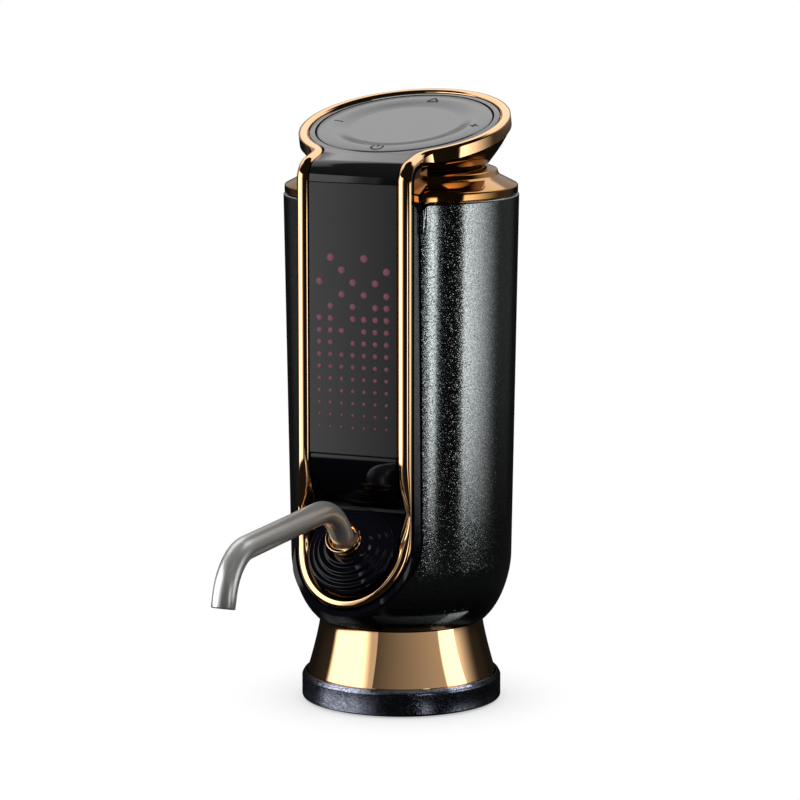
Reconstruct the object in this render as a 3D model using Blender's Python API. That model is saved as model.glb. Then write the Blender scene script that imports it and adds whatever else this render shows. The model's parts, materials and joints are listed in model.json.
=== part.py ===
"""Electric wine aerator that seats on a bottle's neck, built piece by piece.

Lengths are in metres. Every piece hangs under one empty whose height zero is the underside of the
foot pad, and that empty is lowered so that the world origin is the centre of the bottle seat. The
spout comes out along -Y, +X is the right hand seen from the front, and +Z is up.
"""

import math

import bmesh
import bpy
from mathutils import Matrix, Vector

# Fits and facets
GAP = 0.0003
OVERRUN = 0.002
FAR = 0.060
BLANK_REACH = 0.045
TURN_STEPS = 32
MIDDLE_STEPS = 24
SMALL_STEPS = 16
PIN_STEPS = 10
ROD_TURN_SHARE = 0.3
SMOOTH_ANGLE = math.radians(32)

# Body shell
BODY_RADIUS = 0.0300
BODY_TAPER = 0.0016
SHELL_WALL = 0.0018
SHELL_TOP = 0.1312
BOWL_TOP = 0.0381
BOWL_DEPTH = 0.0175
BOWL_NECK_RADIUS = 0.0195
BOWL_POWER_SHARE = 1.7
BOWL_POINTS = 7
SHELL_FLOOR_HOLE = 0.0195
SHELL_CORNER = 0.0035
CORNER_STEPS = 4
BOWL_WALL_SHARE = 0.3

# Base: foot pad, ring and flare
BASE_RADIUS = 0.0257
BASE_LIP_RADIUS = 0.0250
BASE_RING_HEIGHT = 0.0072
BASE_EDGE = 0.0007
BASE_RING_WALL = 0.0004
BASE_FLOOR = 0.0026
FOOT_INNER_RADIUS = 0.0190
FOOT_OUTER_RADIUS = 0.0240
FOOT_THICKNESS = 0.0014
FOOT_STAND = 0.0004
FLARE_TOP_RADIUS = 0.0210
FLARE_TOP = 0.0215
FLARE_WALL = 0.0016
FLARE_POWER_SHARE = 1.25
FLARE_POINTS = 6

# Bottle socket
SOCKET_RADIUS = 0.0165
SOCKET_WALL = 0.0016
SOCKET_MOUTH_RADIUS = 0.0172
SEAT_HEIGHT = 0.0220
BOTTLE_LIP_RADIUS = 0.0150
SEAL_DISC = 0.0037
SEAL_SKIRT = 0.0075
SEAL_RIB = 0.0003
SEAL_RIBS = 2
FLANGE_RADIUS = 0.0208
FLANGE = 0.0018
MANIFOLD = 0.0020
PORT_OFFSET = 0.0045
WINE_PORT_RADIUS = 0.0015
AIR_PORT_RADIUS = 0.0010
NIPPLE = 0.0020
NIPPLE_WALL = 0.0008

# Front face, bend and head plane
FACE_PROUD = 0.0003
FACE_DEPTH = BODY_RADIUS + FACE_PROUD
FACE_BEND_RADIUS = 0.0050
HEAD_TILT = math.radians(14.2)
HEAD_RISE = 0.0174
HEAD_HEIGHT = SHELL_TOP + HEAD_RISE
HEAD_SETBACK = 0.0020
FACE_HALF_WIDTH = 0.0119
PLATE_THICKNESS = 0.0015

# Front housing, niche and rim
TRIM_RAIL_WIDTH = 0.0033
HOUSING_HALF_WIDTH = FACE_HALF_WIDTH + GAP + TRIM_RAIL_WIDTH + GAP
HOUSING_BACK = 0.0205
HOUSING_WALL = 0.0018
RIM_CENTRE = 0.0459
RIM_REACH = 0.0080
RIM_POWER_SHARE = 1.3
NICHE_TOP = 0.0665
NICHE_BEND = 0.0075
WINDOW_BOTTOM = 0.0684
WINDOW_RISE = 0.0050
WINDOW_TOP = SHELL_TOP + WINDOW_RISE
WINDOW_FRAME = 0.0014
FRONT_WALL = 0.0012
GUIDE_THICKNESS = 0.0012
BOARD_THICKNESS = 0.0012
LIP_WIDTH = 0.0015
LIP_DROP = 0.0004
LIP_SIDE_SHARE = 2.3
LIP_BACK_DROP = 0.0033
LIP_PROUD = 0.0007

# Trim
TRIM_DISC_WIDTH = 0.0025
TRIM_CREST = 0.0007
TRIM_DISC_DROP = 0.0028
TRIM_RAIL_DROP = 0.0010
TRIM_FILLET = 0.0080
SEAT_CLEARANCE = 0.0008
TRIM_SCOOP_SHARE = 0.80
TRIM_CREST_SHARE = 0.45
RIM_LEAD_SHARES = (0.3, 0.6, 0.9)
RIM_TURN_SHARE = 0.5
TRIM_DISC_STEPS = 14
TRIM_ARC_STEPS = 5
TRIM_RIM_STEPS = 8
OUTLINE_STEPS = 17
NICHE_STEPS = 6

# Head: collar, neck, bowl, plate and pad
COLLAR_BAND = 0.0018
COLLAR_HEIGHT = 0.0067
COLLAR_STEP = 0.0052
COLLAR_STEP_RADIUS = BODY_RADIUS - COLLAR_STEP
COLLAR_CROWN = 0.0026
COLLAR_TOP_RADIUS = COLLAR_STEP_RADIUS - COLLAR_CROWN
COLLAR_LAND = 0.0017
COLLAR_BORE = COLLAR_TOP_RADIUS - COLLAR_LAND
COLLAR_SPIGOT = 0.0022
COLLAR_SPIGOT_WALL = 0.0013
COLLAR_RISE_SHARES = ((0.2, 0.4), (0.75, 0.57), (1.0, 0.72))
COLLAR_CROWN_SHARES = (0.3, 0.88)
NECK_WALL = 0.0017
NECK_REVEAL = 0.0006
BOWL_WALL = 0.0016
BOWL_RIM_DROP = 0.0031
BOWL_RIM_WIDTH = 0.0032
BOWL_RIM_THICKNESS = 0.0014
PAD_RADIUS = 0.0225
PLATE_BORDER = 0.0018
PLATE_RADIUS = PAD_RADIUS + PLATE_BORDER
PLATE_TURN_SHARE = 0.6
BEND_LEAD_SHARES = (0.75, 0.5, 0.25)
PAD_GAP = 0.0004
PAD_CREST_INSET = 0.0039
PAD_CREST_RADIUS = PAD_RADIUS - PAD_CREST_INSET
PAD_SLOPE_WIDTH = 0.0044
PAD_DISH_RADIUS = PAD_CREST_RADIUS - PAD_SLOPE_WIDTH
PAD_DISH = 0.0008
PAD_CREST = 0.0005
PAD_THICKNESS = 0.0016
PAD_EDGE = 0.0004
PAD_SHOULDER_SHARES = (0.5, 0.8)
PAD_SLOPE_SHARE = 0.45
GASKET_WIDTH = 0.0009
GASKET_THICKNESS = 0.0010

# Pad mechanism
SWITCH_GAP = 0.0006
SWITCH_HEIGHT = 0.0012
SWITCH_HALF_SIDE = 0.0022
PLUNGER_HEIGHT = 0.0004
PLUNGER_RADIUS = 0.0010
SWITCH_RADIUS = 0.0150
SWITCH_BOARD_RADIUS = 0.0180
SWITCH_BOARD_EAR_INSET = 0.0017
EAR_HALF_WIDTH = 0.0022
BOARD_BOSS_RADIUS = 0.0018
BOARD_BOSS_INSET = 0.0032
BOARD_WINDOW_RADIUS = 0.0076
GIMBAL_RADIUS = 0.0040
GIMBAL_WALL = 0.0014
GIMBAL_THICKNESS = 0.0016
GIMBAL_DROP = 0.0060
GIMBAL_PIN_RADIUS = 0.0007
GIMBAL_EAR_THICKNESS = 0.0014
GIMBAL_EAR_HALF_WIDTH = 0.0014
GIMBAL_EAR_GAP = 0.0005
POST_FLOOR = 0.0012
POST_DEPTH = 0.0110
POST_RIM_WALL = 0.0016

# Spout
SPOUT_ANGLE = math.radians(37)
HUB_PROUD = 0.0009
HUB_DEPTH = FACE_DEPTH + HUB_PROUD
HUB_HEIGHT = 0.0443
HUB_RADIUS = 0.0114
HUB_RADIUS_SHARES = (1.0, 0.864, 0.724, 0.561)
HUB_STEP = 0.0009
HUB_NOSE = 0.0036
HUB_BORE = 0.0052
HUB_CAP = 0.0010
SPOUT_RADIUS = 0.0029
SPOUT_BORE = 0.0021
SPOUT_NECK = 0.0073
SPOUT_KNEE_REACH = 0.0433
SPOUT_KNEE_HEIGHT = 0.0570
SPOUT_ELBOW_REACH = 0.1012
SPOUT_ELBOW_HEIGHT = 0.0555
SPOUT_TIP_REACH = 0.1045
SPOUT_TIP_HEIGHT = 0.0435
SPOUT_NECK_BEND = 0.0100
SPOUT_KNEE_BEND = 0.0080
SPOUT_ELBOW_BEND = 0.0130
BEND_STEPS = 6
SPOUT_SIDES = 14
SEAT_RING_RADIUS = 0.0047
SEAT_RING = 0.0010
COLLAR_NUT = 0.0013
COLLAR_LIP = 0.0008
COLLAR_LIP_RADIUS = 0.0040
ORING_THICKNESS = 0.0014
CHAMBER_RADIUS = 0.0048
CHAMBER_LENGTH = 0.0107
CHAMBER_BORE = 0.0015

# Drive: chassis, motor, pump, battery and boards
CHASSIS_FOOT = 0.0020
CHASSIS_FOOT_INNER = 0.0150
CHASSIS_PLATE_FRONT = 0.0012
CHASSIS_PLATE = 0.0012
CHASSIS_HALF_WIDTH = 0.0215
CHASSIS_RING = 0.0020
CHASSIS_RING_INSET = 0.0042
CHASSIS_RING_INNER = 0.0188
CHASSIS_ARCH_HALF_WIDTH = 0.0125
CHASSIS_ARCH_TOP = 0.0475
SHELF = 0.0016
SHELF_HALF_WIDTH = 0.0080
CABLE_SLOT_PLACE = 0.0155
CABLE_SLOT_HALF_WIDTH = 0.0012
MOTOR_RADIUS = 0.0098
MOTOR_LENGTH = 0.0280
MOTOR_BOTTOM = 0.0830
MOTOR_BOSS_RADIUS = 0.0030
MOTOR_BOSS = 0.0015
MOTOR_EDGE = 0.0008
SHAFT_RADIUS = 0.0010
SHAFT_DEPTH = 0.0060
ECCENTRIC_RADIUS = 0.0034
ECCENTRIC_OFFSET = 0.0012
ECCENTRIC_THICKNESS = 0.0040
ECCENTRIC_DROP = 0.0035
PUMP_FRAME_HEIGHT = 0.0157
PUMP_FRAME_WALL = 0.0022
PUMP_HEAD_HEIGHT = 0.0147
DIAPHRAGM_THICKNESS = 0.0016
DIAPHRAGM_STEM_RADIUS = 0.0022
NOZZLE = 0.0035
NOZZLE_RADIUS = 0.0016
NOZZLE_PLACE = 0.0062
CLAMP_BOTTOM = 0.0940
CLAMP_HEIGHT = 0.0060
CLAMP_WALL = 0.0012
CLAMP_TAB = 0.0050
CLAMP_TAB_THICKNESS = 0.0016
VALVE_RADIUS = 0.0028
VALVE_LENGTH = 0.0060
HOSE_WALL = 0.0008
WINE_HOSE_BORE = 0.0015
AIR_HOSE_BORE = 0.0010
CELL_RADIUS = 0.0092
CELL_LENGTH = 0.0650
CELL_BOTTOM = 0.0520
CELL_NUB_RADIUS = 0.0030
CELL_NUB = 0.0010
CONTACT_THICKNESS = 0.0016
CONTACT_RADIUS = 0.0060
MAIN_BOARD_HALF_WIDTH = 0.0130
MAIN_BOARD_BOTTOM = 0.0420
MAIN_BOARD_TOP = 0.1150
PORT_HEIGHT = 0.0500
PORT_HALF_WIDTH = 0.0046
PORT_HALF_HEIGHT = 0.0017
PORT_WALL = 0.0004
PORT_INSET = 0.0004
PORT_DEPTH = 0.0042
FLEX_HALF_WIDTH = 0.0030
FLEX_THICKNESS = 0.0003
FLEX_BEND_SHARE = 0.6
FLEX_SIDE_SHARE = 0.5
FLEX_DROP_SHARE = 0.75
HOSE_POINTS = 12
HOSE_LEAD = 0.0015
WINE_HOSE_SHARES = (0.42, 0.6)
AIR_HOSE_SHARES = (0.5, 0.4)
SCREW_RADIUS = 0.0009
SCREW_HEAD_RADIUS = 0.0018
SCREW_HEAD = 0.0013
FOOT_SCREW_PLACE = 0.0190
FOOT_SCREW_LENGTH = 0.0058
COLLAR_SCREW_PLACE = 0.0234
COLLAR_SCREW_LENGTH = 0.0050

# Places worked out from the sizes above
BOWL_RIM_RADIUS = PLATE_RADIUS + TRIM_DISC_WIDTH
BOWL_RIM_INNER = BOWL_RIM_RADIUS - BOWL_RIM_WIDTH
CHASSIS_RING_RADIUS = BODY_RADIUS - CHASSIS_RING_INSET
SWITCH_BOARD_EAR = BOWL_RIM_INNER - SWITCH_BOARD_EAR_INSET
BOARD_BOSS_PLACE = BOWL_RIM_INNER - BOARD_BOSS_INSET
SLOT_HALF_WIDTH = HOUSING_HALF_WIDTH + GAP
SLOT_BACK = HOUSING_BACK - GAP
WINDOW_DEPTH = FACE_DEPTH - PLATE_THICKNESS
SHELL_BASE = FLARE_TOP + GAP
FLANGE_BASE = SHELL_BASE + SHELL_WALL + GAP
MANIFOLD_BASE = FLANGE_BASE + FLANGE + GAP
CHASSIS_BASE = MANIFOLD_BASE + MANIFOLD + GAP
COLLAR_BASE = SHELL_TOP + GAP
COLLAR_TOP = COLLAR_BASE + COLLAR_HEIGHT
BOWL_BASE = COLLAR_TOP + NECK_REVEAL
CHASSIS_RING_TOP = COLLAR_BASE - GAP
CHASSIS_PLATE_BACK = CHASSIS_PLATE_FRONT + CHASSIS_PLATE
MOTOR_CENTRE = CHASSIS_PLATE_FRONT - GAP - CLAMP_WALL - GAP - MOTOR_RADIUS
CELL_CENTRE = CHASSIS_PLATE_BACK + GAP + CELL_RADIUS
MAIN_BOARD_FRONT = CELL_CENTRE + CELL_RADIUS + GAP
PUMP_FRAME_TOP = MOTOR_BOTTOM - GAP
PUMP_FRAME_BOTTOM = PUMP_FRAME_TOP - PUMP_FRAME_HEIGHT
PUMP_HEAD_TOP = PUMP_FRAME_BOTTOM - GAP
PUMP_HEAD_BOTTOM = PUMP_HEAD_TOP - PUMP_HEAD_HEIGHT
SWITCH_BOARD_TOP = PAD_DISH + PAD_THICKNESS + SWITCH_GAP + PLUNGER_HEIGHT + SWITCH_HEIGHT + GAP
GIMBAL_EAR_START = GIMBAL_RADIUS + GIMBAL_EAR_GAP


# Mesh helpers


def rings_to_mesh(rings, closed):
    """Skins a list of point rings; one-point rings are poles. Open lists get their ends capped."""
    shape = bmesh.new()
    rows = [[shape.verts.new(point) for point in ring] for ring in rings]
    pairs = list(zip(rows, rows[1:] + rows[:1])) if closed else list(zip(rows, rows[1:]))
    for first, second in pairs:
        if len(first) == 1 and len(second) == 1:
            continue
        count = max(len(first), len(second))
        for index in range(count):
            after = (index + 1) % count
            corners = [first[index % len(first)], first[after % len(first)]]
            corners += [second[after % len(second)], second[index % len(second)]]
            shape.faces.new(list(dict.fromkeys(corners)))
    if not closed:
        for row in (rows[0], rows[-1]):
            if len(row) > 2:
                shape.faces.new(row)
    bmesh.ops.recalc_face_normals(shape, faces=shape.faces)
    return shape


def level_circle(radius, height, steps=TURN_STEPS, turn_share=0.0):
    turns = [math.tau * (step + turn_share) / steps for step in range(steps)]
    return [Vector((radius * math.cos(t), radius * math.sin(t), height)) for t in turns]


def turned(profile, steps=TURN_STEPS, turn_share=0.0):
    """Turns a closed outline of (radius, height) points about the Z axis."""
    rings = []
    for radius, height in profile:
        if radius == 0:
            rings.append([Vector((0, 0, height))])
        else:
            rings.append(level_circle(radius, height, steps, turn_share))
    return rings_to_mesh(rings, closed=True)


def rod(radius, low, high, steps=PIN_STEPS):
    """A plain cylinder, turned a little so that its corners miss the edges of round faces."""
    profile = [(0, low), (radius, low), (radius, high), (0, high)]
    return turned(profile, steps, ROD_TURN_SHARE)


def prism(outline, low, high, along):
    """Extrudes an outline in the two other axes between two planes square to the axis named."""
    place = {
        "x": lambda a, b, level: Vector((level, a, b)),
        "y": lambda a, b, level: Vector((a, level, b)),
        "z": lambda a, b, level: Vector((a, b, level)),
    }[along]
    rings = [[place(a, b, level) for a, b in outline] for level in (low, high)]
    return rings_to_mesh(rings, closed=False)


def box_outline(low_a, high_a, low_b, high_b):
    return [(low_a, low_b), (high_a, low_b), (high_a, high_b), (low_a, high_b)]


def box(x, y, z):
    """A box between three pairs of limits."""
    return prism(box_outline(*x, *y), *z, "z")


def shifted(shape, offset):
    bmesh.ops.translate(shape, verts=shape.verts, vec=Vector(offset))
    return shape


def rotated(shape, angle, axis):
    bmesh.ops.rotate(shape, verts=shape.verts, cent=Vector((0, 0, 0)), matrix=Matrix.Rotation(angle, 3, axis))
    return shape


def smooth_path(points, count):
    """Reads count points, evenly numbered, from one smooth curve through the points given."""
    path = []
    ends = [points[0] * 2 - points[1]] + list(points) + [points[-1] * 2 - points[-2]]
    spans = len(points) - 1
    for step in range(count):
        place = step * spans / (count - 1)
        index = min(int(place), spans - 1)
        t = place - index
        a, b, c, d = ends[index : index + 4]
        path.append(
            (b * 2 + (c - a) * t + (a * 2 - b * 5 + c * 4 - d) * t**2 + (b * 3 - a - c * 3 + d) * t**3) / 2
        )
    return path


def rounded_route(corners, bends):
    """Joins corners by straight runs, with an arc of the radius given at each inner corner."""
    route = [corners[0]]
    for before, corner, after, radius in zip(corners, corners[1:], corners[2:], bends):
        arriving = (corner - before).normalized()
        leaving = (after - corner).normalized()
        turn = arriving.angle(leaving)
        inward = (leaving - arriving).normalized()
        centre = corner + inward * (radius / math.cos(turn / 2))
        for step in range(BEND_STEPS + 1):
            swing = turn * (step / BEND_STEPS - 1 / 2)
            along = (arriving + leaving).normalized()
            route.append(centre - inward * (radius * math.cos(swing)) + along * (radius * math.sin(swing)))
    return route + [corners[-1]]


def pipe(path, outer, inner, sides):
    """A tube along a path, with its bore open at both ends."""
    forward = (path[1] - path[0]).normalized()
    side = forward.orthogonal().normalized()
    outside, inside = [], []
    for index, point in enumerate(path):
        before = path[max(index - 1, 0)]
        after = path[min(index + 1, len(path) - 1)]
        turned_forward = (after - before).normalized()
        side = forward.rotation_difference(turned_forward) @ side
        forward = turned_forward
        up = forward.cross(side)
        angles = [math.tau * step / sides for step in range(sides)]
        spokes = [side * math.cos(a) + up * math.sin(a) for a in angles]
        outside.append([point + spoke * outer for spoke in spokes])
        inside.append([point + spoke * inner for spoke in spokes])
    return rings_to_mesh(outside + inside[::-1], closed=True)


def strip(path, across, half_width, thickness):
    """A flat ribbon along a path that lies square to the direction across."""
    rings = []
    for index, point in enumerate(path):
        before = path[max(index - 1, 0)]
        after = path[min(index + 1, len(path) - 1)]
        lift = (after - before).normalized().cross(across) * thickness / 2
        reach = across * half_width
        rings.append([point - reach - lift, point + reach - lift, point + reach + lift, point - reach + lift])
    return rings_to_mesh(rings, closed=False)


# Objects and materials


def finish(name, colour, roughness, metallic):
    material = bpy.data.materials.new(name)
    material.use_nodes = True
    shader = material.node_tree.nodes["Principled BSDF"]
    shader.inputs["Base Color"].default_value = (*colour, 1)
    shader.inputs["Roughness"].default_value = roughness
    shader.inputs["Metallic"].default_value = metallic
    material.diffuse_color = (*colour, 1)
    return material


def sparkle_paint(name):
    return finish(f"{name} sparkle paint", (0.012, 0.016, 0.024), 0.32, 0.6)


def gold_chrome(name):
    return finish(f"{name} gold chrome", (0.83, 0.52, 0.28), 0.12, 1.0)


def gloss_black(name):
    return finish(f"{name} gloss black", (0.006, 0.006, 0.008), 0.08, 0.0)


def matt_black(name):
    return finish(f"{name} matt black", (0.02, 0.02, 0.022), 0.5, 0.0)


def smoked_acrylic(name):
    return finish(f"{name} smoked acrylic", (0.035, 0.035, 0.038), 0.1, 0.0)


def steel(name):
    return finish(f"{name} steel", (0.62, 0.62, 0.62), 0.28, 1.0)


def silicone(name):
    return finish(f"{name} silicone", (0.25, 0.25, 0.26), 0.6, 0.0)


def green_board(name):
    return finish(f"{name} circuit board", (0.02, 0.12, 0.05), 0.4, 0.0)


def clear_plastic(name):
    return finish(f"{name} clear plastic", (0.6, 0.6, 0.6), 0.3, 0.0)


def blue_sleeve(name):
    return finish(f"{name} blue sleeve", (0.05, 0.16, 0.45), 0.4, 0.0)


def amber_film(name):
    return finish(f"{name} amber film", (0.45, 0.2, 0.05), 0.4, 0.0)


def add_object(name, shape, parent, material=None):
    mesh = bpy.data.meshes.new(name)
    shape.to_mesh(mesh)
    shape.free()
    mesh.shade_smooth()
    mesh.set_sharp_from_angle(angle=SMOOTH_ANGLE)
    piece = bpy.data.objects.new(name, mesh)
    piece.parent = parent
    bpy.context.scene.collection.objects.link(piece)
    if material:
        mesh.materials.append(material)
    return piece


def add_helper(name, shape, parent):
    """A cutter or a joining shape, which stays out of renders."""
    helper = add_object(name, shape, parent)
    helper.hide_render = True
    helper.display_type = "WIRE"
    return helper


def shape_with(piece, operation, helper):
    modifier = piece.modifiers.new(f"{operation.lower()} {helper.name}", "BOOLEAN")
    modifier.operation = operation
    modifier.object = helper
    modifier.solver = "EXACT"


def cut(piece, name, shape):
    helper = add_helper(f"{piece.name}_{name}_cutter", shape, piece.parent)
    helper.location = piece.location
    shape_with(piece, "DIFFERENCE", helper)


def fuse(piece, name, shape):
    helper = add_helper(f"{piece.name}_{name}_shape", shape, piece.parent)
    helper.location = piece.location
    shape_with(piece, "UNION", helper)


def add_frame(name, parent, place, tilt):
    frame = bpy.data.objects.new(name, None)
    frame.parent = parent
    frame.location = place
    frame.rotation_euler = (tilt, 0, 0)
    bpy.context.scene.collection.objects.link(frame)
    return frame


def screw(name, parent, place, length, head_up):
    """A cheese-head screw whose head stands on the plane at its place."""
    turn = 1 if head_up else -1
    profile = [(0, SCREW_HEAD), (SCREW_HEAD_RADIUS, SCREW_HEAD), (SCREW_HEAD_RADIUS, 0)]
    profile += [(SCREW_RADIUS, 0), (SCREW_RADIUS, -length), (0, -length)]
    piece = add_object(name, turned([(r, turn * z) for r, z in profile], PIN_STEPS), parent, steel(name))
    piece.location = place
    return piece


# Shared shapes


def body_radius(height):
    """The painted shell's outer radius at a height above the foot."""
    if height >= BOWL_TOP:
        share = (height - BOWL_TOP) / (SHELL_TOP - BOWL_TOP)
        return BODY_RADIUS - BODY_TAPER * (1 - share)
    share = min((BOWL_TOP - height) / BOWL_DEPTH, 1)
    swell = (1 - share**BOWL_POWER_SHARE) ** (1 / BOWL_POWER_SHARE)
    return BOWL_NECK_RADIUS + (BODY_RADIUS - BODY_TAPER - BOWL_NECK_RADIUS) * swell


def bend_start():
    """How far in front of the pad's centre, along the head plane, the face starts to bend down."""
    rounding = FACE_BEND_RADIUS * (1 - math.sin(HEAD_TILT))
    return (FACE_DEPTH + HEAD_SETBACK - rounding) / math.cos(HEAD_TILT)


def bend_centre():
    """(depth, height) of the axis that the face bends about."""
    start = bend_start()
    depth = -HEAD_SETBACK + start * math.cos(HEAD_TILT) - FACE_BEND_RADIUS * math.sin(HEAD_TILT)
    height = HEAD_HEIGHT - start * math.sin(HEAD_TILT) - FACE_BEND_RADIUS * math.cos(HEAD_TILT)
    return depth, height


def bend_length():
    return FACE_BEND_RADIUS * (math.pi / 2 - HEAD_TILT)


def along_at(height):
    """The distance along the face, from the pad's centre, of a height on the upright front."""
    return bend_start() + bend_length() + bend_centre()[1] - height


def rim_bulge(height):
    """How far the rim leans forward of the face at a height."""
    share = max(0.0, (RIM_CENTRE - height) / HOUSING_HALF_WIDTH)
    return RIM_REACH * share**RIM_POWER_SHARE


def face_point(across, along, proud):
    """Wraps a point of the flat face onto the head plane, the bend and the upright front."""
    past = along - bend_start()
    if past <= 0:
        depth = -HEAD_SETBACK + along * math.cos(HEAD_TILT) + proud * math.sin(HEAD_TILT)
        height = HEAD_HEIGHT - along * math.sin(HEAD_TILT) + proud * math.cos(HEAD_TILT)
        return Vector((across, -depth, height))
    centre_depth, centre_height = bend_centre()
    turn = HEAD_TILT + min(past, bend_length()) / FACE_BEND_RADIUS
    reach = FACE_BEND_RADIUS + proud
    depth = centre_depth + reach * math.sin(turn)
    height = centre_height + reach * math.cos(turn) - max(0.0, past - bend_length())
    return Vector((across, -depth - rim_bulge(height), height))


def hub_floor_depth(height):
    """The depth of the plane that the hub stands on."""
    return HUB_DEPTH + (HUB_HEIGHT - height) * math.tan(SPOUT_ANGLE)


def niche_floor_top():
    """The height at which the scooped niche meets the hub's plane."""
    return HUB_HEIGHT + (HUB_RADIUS + HUB_STEP / 2) * math.cos(SPOUT_ANGLE)


def niche_curve(share):
    """(depth, height) on the scoop, from the face at share 0 to the hub's plane at share 1."""
    low = niche_floor_top()
    points = [(FACE_DEPTH, NICHE_TOP), (FACE_DEPTH, NICHE_TOP - NICHE_BEND), (hub_floor_depth(low), low)]
    weights = ((1 - share) ** 2, 2 * share * (1 - share), share**2)
    return tuple(sum(weight * point[i] for weight, point in zip(weights, points)) for i in (0, 1))


def niche_depth(height):
    """The depth of the recessed face at a height."""
    if height >= NICHE_TOP:
        return FACE_DEPTH
    if height <= niche_floor_top():
        return hub_floor_depth(height)
    steps = [niche_curve(step / TURN_STEPS) for step in range(TURN_STEPS + 1)]
    return min(steps, key=lambda point: abs(point[1] - height))[0]


def ease(share):
    """Runs smoothly from 0 to 1 as the share does."""
    share = min(max(share, 0.0), 1.0)
    return share * share * (3 - 2 * share)


def rim_outline(half_width, top, lip=0.0):
    """An upright slot shape, round at the bottom about the rim's centre, where a lip widens it."""
    points = [(half_width, top)]
    for step in range(OUTLINE_STEPS + 1):
        turn = math.pi * step / OUTLINE_STEPS
        reach = half_width + lip * ease(2 * math.sin(turn))
        points.append((reach * math.cos(turn), RIM_CENTRE - reach * math.sin(turn)))
    points.append((-half_width, top))
    return points


def trim_half_path():
    """The trim's centre line from the back of the head to the lowest point, as (across, along, share).

    The share is 0 round the head and 1 on the rails.
    """
    disc = PLATE_RADIUS + GAP + TRIM_DISC_WIDTH / 2
    rail = FACE_HALF_WIDTH + GAP + TRIM_RAIL_WIDTH / 2
    reach = disc + TRIM_FILLET
    fillet_across = rail + TRIM_FILLET
    fillet_along = math.sqrt(reach**2 - fillet_across**2)
    swing = math.atan2(fillet_across, fillet_along)
    points = []
    for step in range(TRIM_DISC_STEPS + 1):
        turn = math.pi - (math.pi - swing) * step / TRIM_DISC_STEPS
        points.append((disc * math.sin(turn), disc * math.cos(turn), 0.0))
    for step in range(1, TRIM_ARC_STEPS + 1):
        share = step / TRIM_ARC_STEPS
        turn = swing + (math.pi / 2 - swing) * share
        points.append(
            (fillet_across - TRIM_FILLET * math.sin(turn), fillet_along - TRIM_FILLET * math.cos(turn), share)
        )
    for step in range(TRIM_ARC_STEPS + 1):
        points.append((rail, bend_start() + bend_length() * step / TRIM_ARC_STEPS, 1.0))
    low = niche_floor_top()
    points.append((rail, along_at(NICHE_TOP + NICHE_BEND), 1.0))
    heights = [blend(NICHE_TOP, low, step / NICHE_STEPS) for step in range(NICHE_STEPS + 1)]
    heights += [blend(low, RIM_CENTRE, share) for share in RIM_LEAD_SHARES]
    points += [(rail, along_at(height), 1.0) for height in heights]
    for step in range(TRIM_RIM_STEPS):
        turn = math.pi / 2 * (step + RIM_TURN_SHARE) / TRIM_RIM_STEPS
        points.append((rail * math.cos(turn), along_at(RIM_CENTRE) + rail * math.sin(turn), 1.0))
    points.append((0.0, along_at(RIM_CENTRE) + rail, 1.0))
    return points


def trim_path():
    half = trim_half_path()
    other = [(-across, along, share) for across, along, share in half[-2:0:-1]]
    return half + other


def blend(start, end, share):
    return start + (end - start) * share


def trim_loft(profile, spread, clearance):
    """Sweeps a profile of (side, proud) points round the trim's path.

    side runs from -1 at the inner edge to 1 at the outer edge, and spread widens it both ways.
    proud is a crest height, or None for the seat under the trim.
    """
    path = trim_path()
    rings = []
    for index, (across, along, share) in enumerate(path):
        before = path[index - 1]
        after = path[(index + 1) % len(path)]
        step = Vector((after[0] - before[0], after[1] - before[1])).normalized()
        outward = Vector((step.y, -step.x))
        half = blend(TRIM_DISC_WIDTH, TRIM_RAIL_WIDTH, share) / 2
        ring = []
        for side, proud in profile:
            reach = side * half + math.copysign(spread, side)
            spot = Vector((across, along)) + outward * reach
            drop = blend(TRIM_DISC_DROP, TRIM_RAIL_DROP, share)
            lift = -drop - clearance if proud is None else proud
            height = face_point(spot.x, spot.y, 0).z
            inward_share = max(0.0, (half - reach) / (2 * half))
            scoop = max(0.0, FACE_DEPTH - niche_depth(height)) * TRIM_SCOOP_SHARE * inward_share
            ring.append(face_point(spot.x, spot.y, lift - scoop))
        rings.append(ring)
    return rings_to_mesh(rings, closed=True)


def head_circle(radius, drop, steps=TURN_STEPS):
    """A circle square to the head's axis, below the head plane by drop, in the device's frame."""
    centre = Vector((0, HEAD_SETBACK, HEAD_HEIGHT))
    tilt = Matrix.Rotation(HEAD_TILT, 3, "X")
    points = []
    for step in range(steps):
        turn = math.tau * step / steps
        points.append(centre + tilt @ Vector((radius * math.cos(turn), radius * math.sin(turn), -drop)))
    return points


def front_slot_cutter(low, high):
    """The space that the front housing passes through."""
    return box((-SLOT_HALF_WIDTH, SLOT_HALF_WIDTH), (-FAR, -SLOT_BACK), (low, high))


def ring_places(radius, count, first):
    turns = [first + math.tau * index / count for index in range(count)]
    return [(radius * math.cos(turn), radius * math.sin(turn)) for turn in turns]


# Base


def add_foot_pad(device):
    profile = box_outline(FOOT_INNER_RADIUS, FOOT_OUTER_RADIUS, 0, FOOT_THICKNESS)
    return add_object("foot_pad", turned(profile), device, silicone("foot_pad"))


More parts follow.
